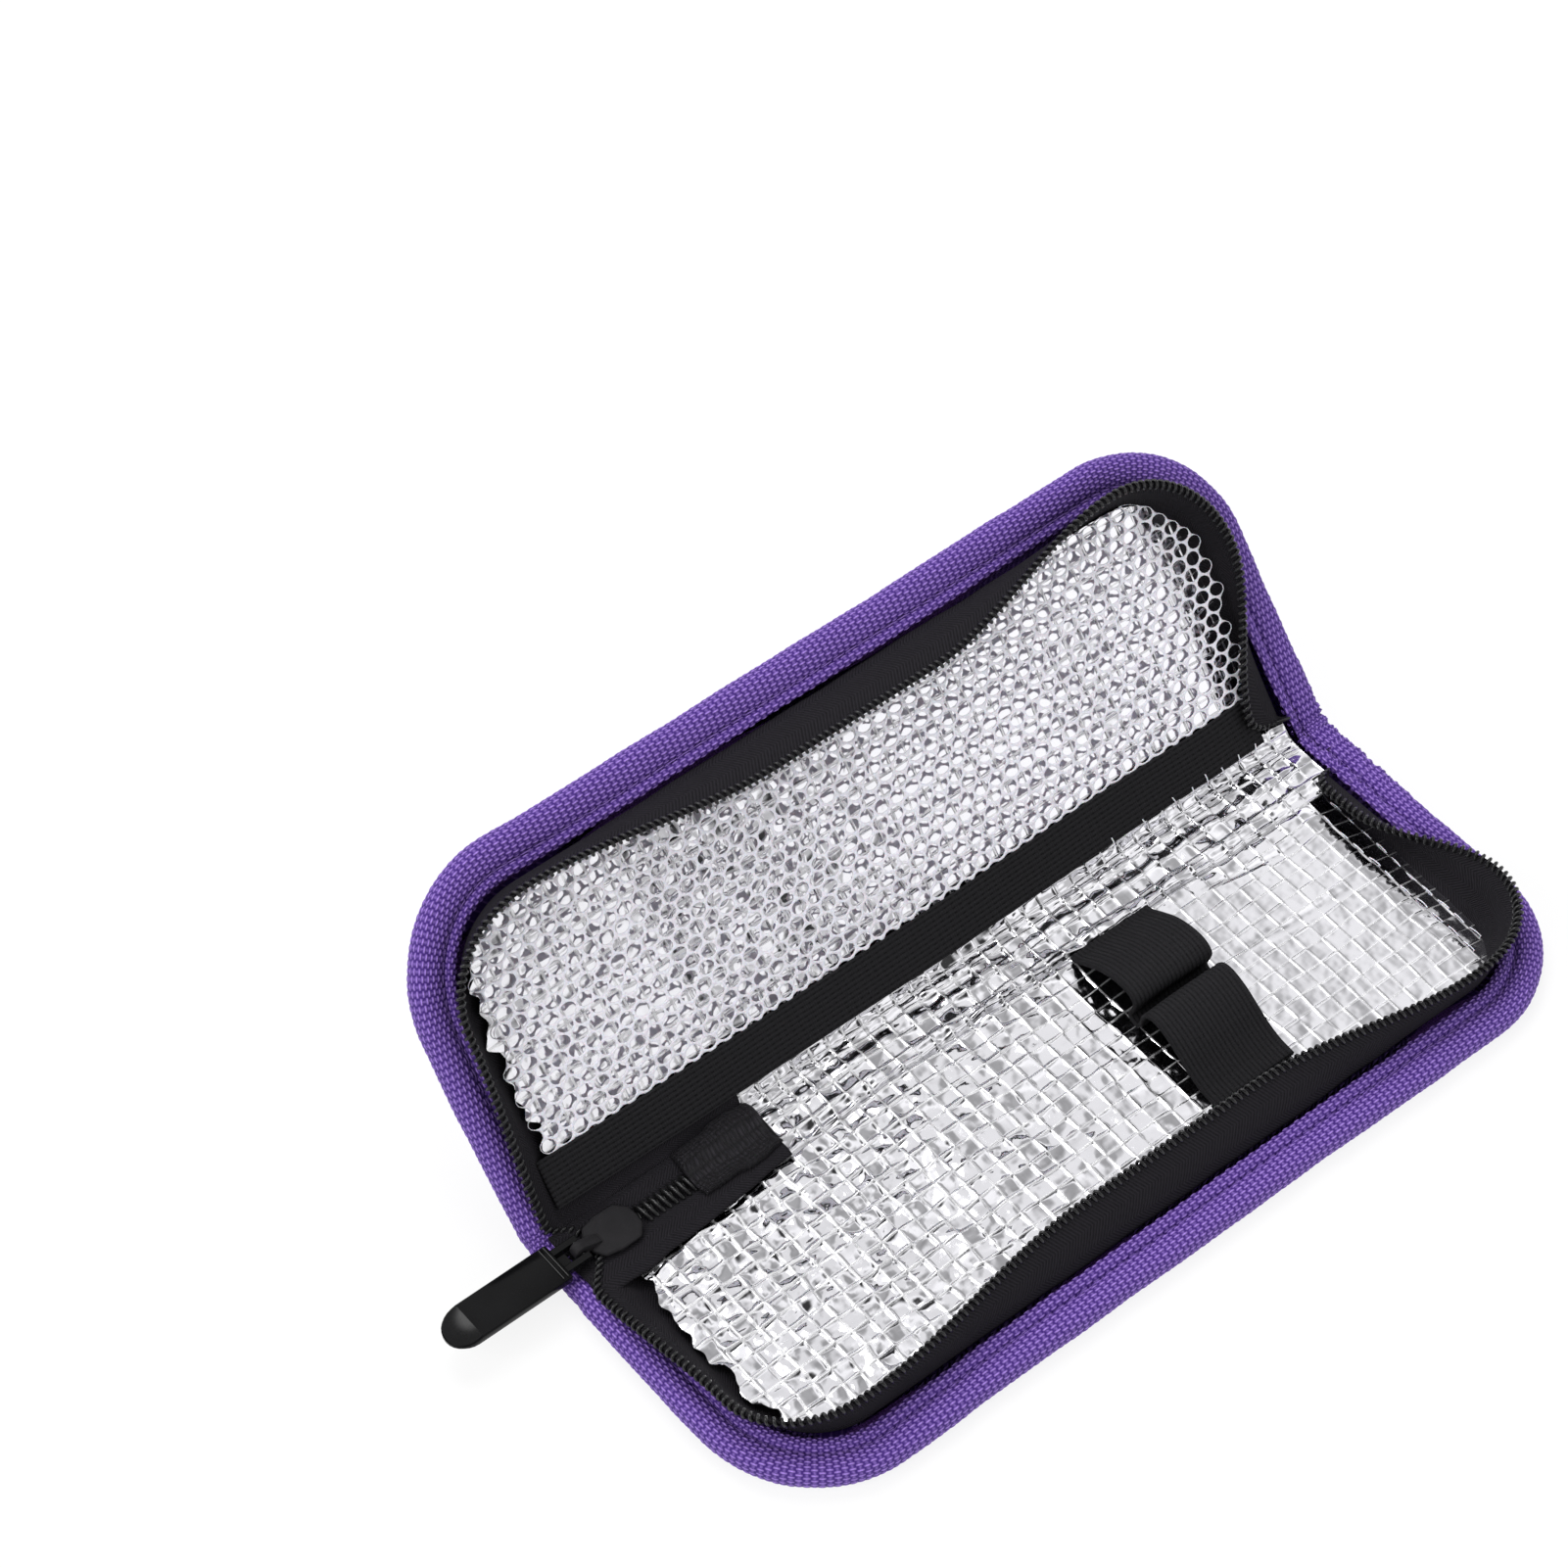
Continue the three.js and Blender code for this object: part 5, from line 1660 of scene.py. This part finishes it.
def slope_tip(bm, facet):
    """Lets the upper face fall towards the tip, from a straight edge across the plate."""
    whole = bm.verts[:] + bm.edges[:] + bm.faces[:]
    bmesh.ops.bisect_plane(bm, geom=whole, plane_co=(facet * MM, 0, 0), plane_no=(1, 0, 0))
    for vert in bm.verts:
        before = facet - vert.co.x / MM
        if before > 0 and vert.co.z / MM > PIN_Z:
            vert.co.z -= TIP_SLOPE * before * MM


# Elastic strap and net pocket

STRAP_LEFT = 20.4
STRAP_WIDTH = 19.6
STRAP_SKEW = 1.6  # how far the strap drifts to the left on its way to the front
STRAP_STEP = 0.6
STRAP_THICKNESS = 0.85
# y and height along the strap, from the foot at the spine to the front foot
STRAP_PROFILE = (
    (32.0, 5.5), (30.2, 6.0), (27.2, 8.2), (23.4, 10.7), (19.2, 12.2), (15.6, 12.3), (13.6, 10.9),
    (13.9, 8.6), (14.5, 6.8), (13.4, 5.6), (11.8, 5.5), (11.0, 7.0), (10.7, 9.2), (9.4, 11.3),
    (7.0, 11.9), (3.4, 10.9), (0.0, 9.1), (-3.6, 7.0), (-7.5, 5.7), (-11.5, 5.5))
RIB_STEPS = 4
RIB_RISE = 0.22


def ribs(w):
    return 0.5 + 0.5 * np.cos(w / size("rib_pitch") * math.tau)


def make_strap():
    line = curve_through(STRAP_PROFILE, STRAP_STEP)
    side = side_of(line)
    along = np.arange(len(line)) * STRAP_STEP

    def place(s, w):
        k = np.rint(s / STRAP_STEP).astype(int)
        raised = RIB_RISE * ribs(w) + uneven("strap waves", s, w)
        y, z = (line[k] + side[k] * raised[:, None]).T
        return np.stack([STRAP_LEFT + w - STRAP_SKEW * s / along[-1], y, z], 1)

    across = spaced(0, STRAP_WIDTH, size("rib_pitch") / RIB_STEPS)
    piece = finish_piece(mapped_grid("pen_loops", along, across, place), STRAP_THICKNESS)


ELASTIC_START = 4.6
ELASTIC_WIDTH = 10.0
ELASTIC_LEFT = -92.0
ELASTIC_RIGHT = 84.0
ELASTIC_HEIGHT = LINING_TOP + 0.75
ELASTIC_BOW = 0.5  # how far its middle is pulled towards the fold
ELASTIC_LIFT = 0.3  # how much higher its upper edge lies, over the net
ELASTIC_RIBS = 0.5 * RIB_RISE
ELASTIC_STEP = 0.9
ELASTIC_THICKNESS = 0.6


def make_pocket_elastic():
    def place(x, w):
        share = np.clip((x - ELASTIC_LEFT) / (ELASTIC_RIGHT - ELASTIC_LEFT), 0, 1)
        path = uneven("hem path", x) - ELASTIC_BOW * np.sin(math.pi * share)
        n = ELASTIC_HEIGHT + ELASTIC_RIBS * ribs(w) + uneven("hem waves", x, w)
        n = n + ELASTIC_LIFT * w / ELASTIC_WIDTH
        return on_sheet(x, SPINE_WIDTH + ELASTIC_START + w + path, n)

    along = spaced(ELASTIC_LEFT, ELASTIC_RIGHT, ELASTIC_STEP)
    across = spaced(0, ELASTIC_WIDTH, size("rib_pitch") / RIB_STEPS)
    piece = finish_piece(mapped_grid("pocket_hem", along, across, place), ELASTIC_THICKNESS)


NET_BULGE = 1.6
NET_INSET = 9.4
NET_RIM = 0.3  # the outermost strands stay so far inside
NET_UNDER_HEM = 1.2
NET_HEIGHT = LINING_TOP + 0.7
NET_END_RUN = 30.0  # the bulge falls over this length at the ends
NET_SIDE_RUN = 14.0
NET_THICKNESS = 0.32
NET_COLUMNS = 40  # more than fit on either side of the middle
NET_WELD = 0.05
# The tape leans over the net, at the right up to this distance from the fold and then at the left
NET_LEAN_SIDE = 34.0
NET_UNDER_TAPE = 1.6


def net_cells(near, far):
    """A flat field of six-sided cells in x and u, as far as the lid's outline allows."""
    pitch, row = size("net_pitch"), size("net_row")
    radius = pitch / math.sqrt(3)
    squeeze = row / (1.5 * radius)
    bm = bmesh.new()
    for j in range(int((far - near) / row) + 1):
        u = near + j * row
        reach = float(half_at(LID, np.array(u), NET_INSET)) - pitch / 3
        shift = (j % 2) * pitch / 2
        for i in range(-NET_COLUMNS, NET_COLUMNS + 1):
            x = i * pitch + shift
            under_tape = NET_UNDER_TAPE if (x > 0) == (u < NET_LEAN_SIDE) else 0.0
            if abs(x) > reach - under_tape:
                continue
            cell = bmesh.ops.create_circle(bm, cap_ends=True, radius=radius, segments=6)["verts"]
            bmesh.ops.scale(bm, verts=cell, vec=(1, squeeze, 1))
            bmesh.ops.translate(bm, verts=cell, vec=(x, u, 0))
    bmesh.ops.remove_doubles(bm, verts=bm.verts, dist=NET_WELD)
    return bm


def make_net():
    """A knitted net of six-sided holes that lies over the lid's foil."""
    near = ELASTIC_START + ELASTIC_WIDTH - NET_UNDER_HEM
    far = LID.depth - NET_INSET
    bm = net_cells(near, far)
    holes = bm.faces[:]
    half_strand = size("net_strand") / 2
    bmesh.ops.inset_individual(bm, faces=holes, thickness=half_strand, use_even_offset=True)
    bmesh.ops.delete(bm, geom=holes, context="FACES_ONLY")
    flat = np.array([v.co[:] for v in bm.verts])
    u = np.minimum(flat[:, 1], far)
    rim = half_at(LID, u, NET_INSET + NET_RIM)
    x = np.clip(flat[:, 0], -rim, rim)
    ends = ramp((HALF_LENGTH - NET_INSET - np.abs(x)) / NET_END_RUN)
    middle = np.clip((u - near) / NET_SIDE_RUN, 0, 1) * np.clip((far - u) / NET_SIDE_RUN, 0, 1)
    n = NET_HEIGHT + NET_BULGE * ends * smooth(middle) + uneven("net waves", x, u)
    drift_x, drift_u = uneven("net drift along", x, u), uneven("net drift across", x, u)
    placed = on_sheet(x + drift_x, SPINE_WIDTH + u + drift_u, n) * MM
    for vert, point in zip(bm.verts, placed):
        vert.co = point
    bmesh.ops.recalc_face_normals(bm, faces=bm.faces)
    piece = finish_piece(mesh_from(bm, "pocket_mesh"), NET_THICKNESS)
    rounding = piece.modifiers.new("Rounding", "SUBSURF")
    rounding.levels = 1
    rounding.render_levels = 1


# Stage

FLOOR_SIZE = 12.0
FLOOR_TONE = (0.85, 0.85, 0.85, 1)
SHADOW_SHARE = 0.16
LAMPS = (
    # name, place in metres, width, watts
    ("Top softbox", (0.35, 0.75, 1.05), 0.9, 14.0),
    ("Left softbox", (-1.0, 0.1, 0.7), 0.8, 9.0),
    ("Front fill", (0.3, -1.1, 0.6), 0.9, 7.0),
)
LAMPS_LOOK_AT = (0, 0.03, 0.01)


def make_floor():
    bm = bmesh.new()
    bmesh.ops.create_grid(bm, x_segments=1, y_segments=1, size=FLOOR_SIZE)
    mesh = mesh_from(bm, "floor")
    floor = bpy.data.objects.new("floor", mesh)
    bpy.context.scene.collection.objects.link(floor)
    made = bpy.data.materials.new("Floor")
    made.use_nodes = True
    tree = made.node_tree
    tree.nodes.clear()
    pale = node(tree, "ShaderNodeBsdfDiffuse", FLOOR_TONE)
    white = node(tree, "ShaderNodeEmission", (1, 1, 1, 1), 1.0)
    path = node(tree, "ShaderNodeLightPath").outputs
    seen = calc(tree, "MAXIMUM", path["Is Camera Ray"], path["Is Glossy Ray"])
    seen = calc(tree, "MAXIMUM", seen, path["Is Transmission Ray"])
    share = calc(tree, "MULTIPLY", seen, 1 - SHADOW_SHARE)
    mixed = node(tree, "ShaderNodeMixShader", share, pale.outputs[0], white.outputs[0])
    node(tree, "ShaderNodeOutputMaterial", mixed.outputs[0])
    mesh.materials.append(made)


SKY_FOR_CLOTH = 0.45  # level of the sky that lights plain surfaces
SOFTBOX_LEVEL = 1.15  # what shiny surfaces see of the studio
# Parts of the studio: direction, cosines of their rim and core, level of the core
STUDIO_PARTS = (
    ((0.39, 0.48, 0.78), 0.84, 0.97, 0.8),  # where the flat foil of the base looks
    ((0.39, -0.84, 0.38), 0.7, 0.92, 0.5),  # round where the lid's foil looks
    ((0.39, -0.84, 0.38), 0.955, 0.985, 1.9),  # where its flat part looks
    ((-0.39, -0.48, 0.78), 0.7, 0.92, 0.04),  # the camera's side
    ((0.74, 0.12, 0.66), 0.86, 0.97, 0.42),  # a gap between two softboxes
)
SPOT_WAY = (-0.12, 0.48, 0.87)  # a small strong lamp that glints on edges
SPOT_RIM = (0.984, 0.992)
SPOT_LEVEL = 8.0


def make_world():
    """A white studio; shiny surfaces see softboxes with duller parts between them."""
    world = bpy.data.worlds.new("Studio")
    bpy.context.scene.world = world
    world.use_nodes = True
    tree = world.node_tree
    tree.nodes.clear()
    way = node(tree, "ShaderNodeTexCoord").outputs["Generated"]

    def nearness(direction):
        made = node(tree, "ShaderNodeVectorMath", way, direction, operation="DOT_PRODUCT")
        return made.outputs["Value"]

    shiny = SOFTBOX_LEVEL
    for direction, rim, core, level in STUDIO_PARTS:
        part = node(
            tree, "ShaderNodeMapRange", nearness(direction), rim, core, 1.0, level,
            interpolation_type="SMOOTHSTEP")
        shiny = calc(tree, "MULTIPLY", part.outputs[0], shiny)
    spot = spread(tree, nearness(SPOT_WAY), 0.0, SPOT_LEVEL, *SPOT_RIM)
    shiny = calc(tree, "ADD", spot, shiny)
    path = node(tree, "ShaderNodeLightPath").outputs
    lit = node(tree, "ShaderNodeMix", path["Is Glossy Ray"], None, SKY_FOR_CLOTH, shiny)
    seen = calc(tree, "MAXIMUM", path["Is Camera Ray"], path["Is Transmission Ray"])
    level = node(tree, "ShaderNodeMix", seen, None, lit.outputs[0], 1.0)
    sky = node(tree, "ShaderNodeBackground", (1, 1, 1, 1), level.outputs[0])
    node(tree, "ShaderNodeOutputWorld", sky.outputs[0])


def make_lamps():
    for name, place, width, power in LAMPS:
        light = bpy.data.lights.new(name, "AREA")
        light.shape = "SQUARE"
        light.size = width
        light.energy = power
        lamp = bpy.data.objects.new(name, light)
        lamp.location = place
        lamp.visible_glossy = False
        lamp.rotation_mode = "QUATERNION"
        lamp.rotation_quaternion = (Vector(LAMPS_LOOK_AT) - Vector(place)).to_track_quat("-Z", "Y")
        bpy.context.scene.collection.objects.link(lamp)


# Camera, fitted to the case's outline and folds
VIEW_TARGET = (6.03, 101.65, 2.5)
VIEW_AZIMUTH = -39.07
VIEW_ELEVATION = 51.58
VIEW_DISTANCE = 969.46
VIEW_LENS = 112.27
SENSOR = 36.0


def make_camera():
    azimuth, elevation = math.radians(VIEW_AZIMUTH), math.radians(VIEW_ELEVATION)
    back = Vector((
        math.sin(azimuth) * math.cos(elevation),
        -math.cos(azimuth) * math.cos(elevation),
        math.sin(elevation)))
    data = bpy.data.cameras.new("Camera")
    data.lens = VIEW_LENS
    data.sensor_width = SENSOR
    camera = bpy.data.objects.new("Camera", data)
    camera.location = (Vector(VIEW_TARGET) + back * VIEW_DISTANCE) * MM
    camera.rotation_mode = "QUATERNION"
    camera.rotation_quaternion = (-back).to_track_quat("-Z", "Y")
    bpy.context.scene.collection.objects.link(camera)
    bpy.context.scene.camera = camera
    bpy.context.scene.view_settings.view_transform = "Standard"


# Operators


class PENCASE_OT_outer_cloth(Operator):
    """Make the outer cloth of base, spine and lid"""

    bl_idname = "pencase.outer_cloth"
    bl_label = "Outer cloth"

    def execute(self, context):
        for panel in (BASE, LID):
            make_cover(panel)
        return {"FINISHED"}


class PENCASE_OT_foam(Operator):
    """Make the insulation foam between cloth and foil"""

    bl_idname = "pencase.foam"
    bl_label = "Insulation foam"

    def execute(self, context):
        for panel in (BASE, LID):
            make_foam(f"foam_{panel.name}", panel_foam(panel))
        make_foam("foam_spine", spine_foam())
        return {"FINISHED"}


class PENCASE_OT_foil(Operator):
    """Make the foil lining with its raised threads"""

    bl_idname = "pencase.foil"
    bl_label = "Foil lining"

    def execute(self, context):
        for panel in (BASE, LID):
            make_foil(panel)
            make_threads(panel)
        return {"FINISHED"}


class PENCASE_OT_binding(Operator):
    """Make the webbing folded over the edge, and its stitches"""

    bl_idname = "pencase.binding"
    bl_label = "Edge binding"

    def execute(self, context):
        for panel in (BASE, LID):
            make_binding(panel)
            make_stitches(panel)
        return {"FINISHED"}


class PENCASE_OT_zip(Operator):
    """Make the zip's tapes, its coils, its closed end and the tab over it"""

    bl_idname = "pencase.zip"
    bl_label = "Zip"

    def execute(self, context):
        for panel in (BASE, LID):
            make_tape(panel)
            make_coil(panel)
        make_tail_coils()
        make_tail_tape()
        make_corner_patch()
        make_tab()
        return {"FINISHED"}


class PENCASE_OT_slider(Operator):
    """Make the zip slider and its puller"""

    bl_idname = "pencase.slider"
    bl_label = "Slider and puller"

    def execute(self, context):
        make_slider()
        make_puller()
        return {"FINISHED"}


class PENCASE_OT_pen_loops(Operator):
    """Make the elastic strap with two pen loops"""

    bl_idname = "pencase.pen_loops"
    bl_label = "Pen loops"

    def execute(self, context):
        make_strap()
        return {"FINISHED"}


class PENCASE_OT_pocket(Operator):
    """Make the lid's net pocket and the elastic at its mouth"""

    bl_idname = "pencase.pocket"
    bl_label = "Net pocket"

    def execute(self, context):
        make_pocket_elastic()
        make_net()
        return {"FINISHED"}


class PENCASE_OT_stage(Operator):
    """Make the floor, the light and the camera"""

    bl_idname = "pencase.stage"
    bl_label = "Stage"

    def execute(self, context):
        make_floor()
        make_world()
        make_lamps()
        make_camera()
        return {"FINISHED"}


OPERATORS = (
    PENCASE_OT_outer_cloth,
    PENCASE_OT_foam,
    PENCASE_OT_foil,
    PENCASE_OT_binding,
    PENCASE_OT_zip,
    PENCASE_OT_slider,
    PENCASE_OT_pen_loops,
    PENCASE_OT_pocket,
    PENCASE_OT_stage,
)


class PENCASE_PT_sidebar(Panel):
    """Sizes, colours and pieces of the case"""

    bl_idname = "PENCASE_PT_sidebar"
    bl_label = "Pen case"
    bl_space_type = "VIEW_3D"
    bl_region_type = "UI"
    bl_category = "Pen case"

    def draw(self, context):
        for settings in (context.scene.pen_case_sizes, context.scene.pen_case_colours):
            box = self.layout.box()
            for key in settings.__annotations__:
                box.prop(settings, key)
        for operator in OPERATORS:
            self.layout.operator(operator.bl_idname)


CLASSES = (CaseSizes, CaseColours, *OPERATORS, PENCASE_PT_sidebar)


def register():
    for cls in CLASSES:
        bpy.utils.register_class(cls)
    bpy.types.Scene.pen_case_sizes = PointerProperty(type=CaseSizes)
    bpy.types.Scene.pen_case_colours = PointerProperty(type=CaseColours)


def unregister():
    del bpy.types.Scene.pen_case_colours
    del bpy.types.Scene.pen_case_sizes
    for cls in reversed(CLASSES):
        bpy.utils.unregister_class(cls)


def main():
    register()
    for operator in OPERATORS:
        family, name = operator.bl_idname.split(".")
        getattr(getattr(bpy.ops, family), name)()


if __name__ == "__main__":
    main()
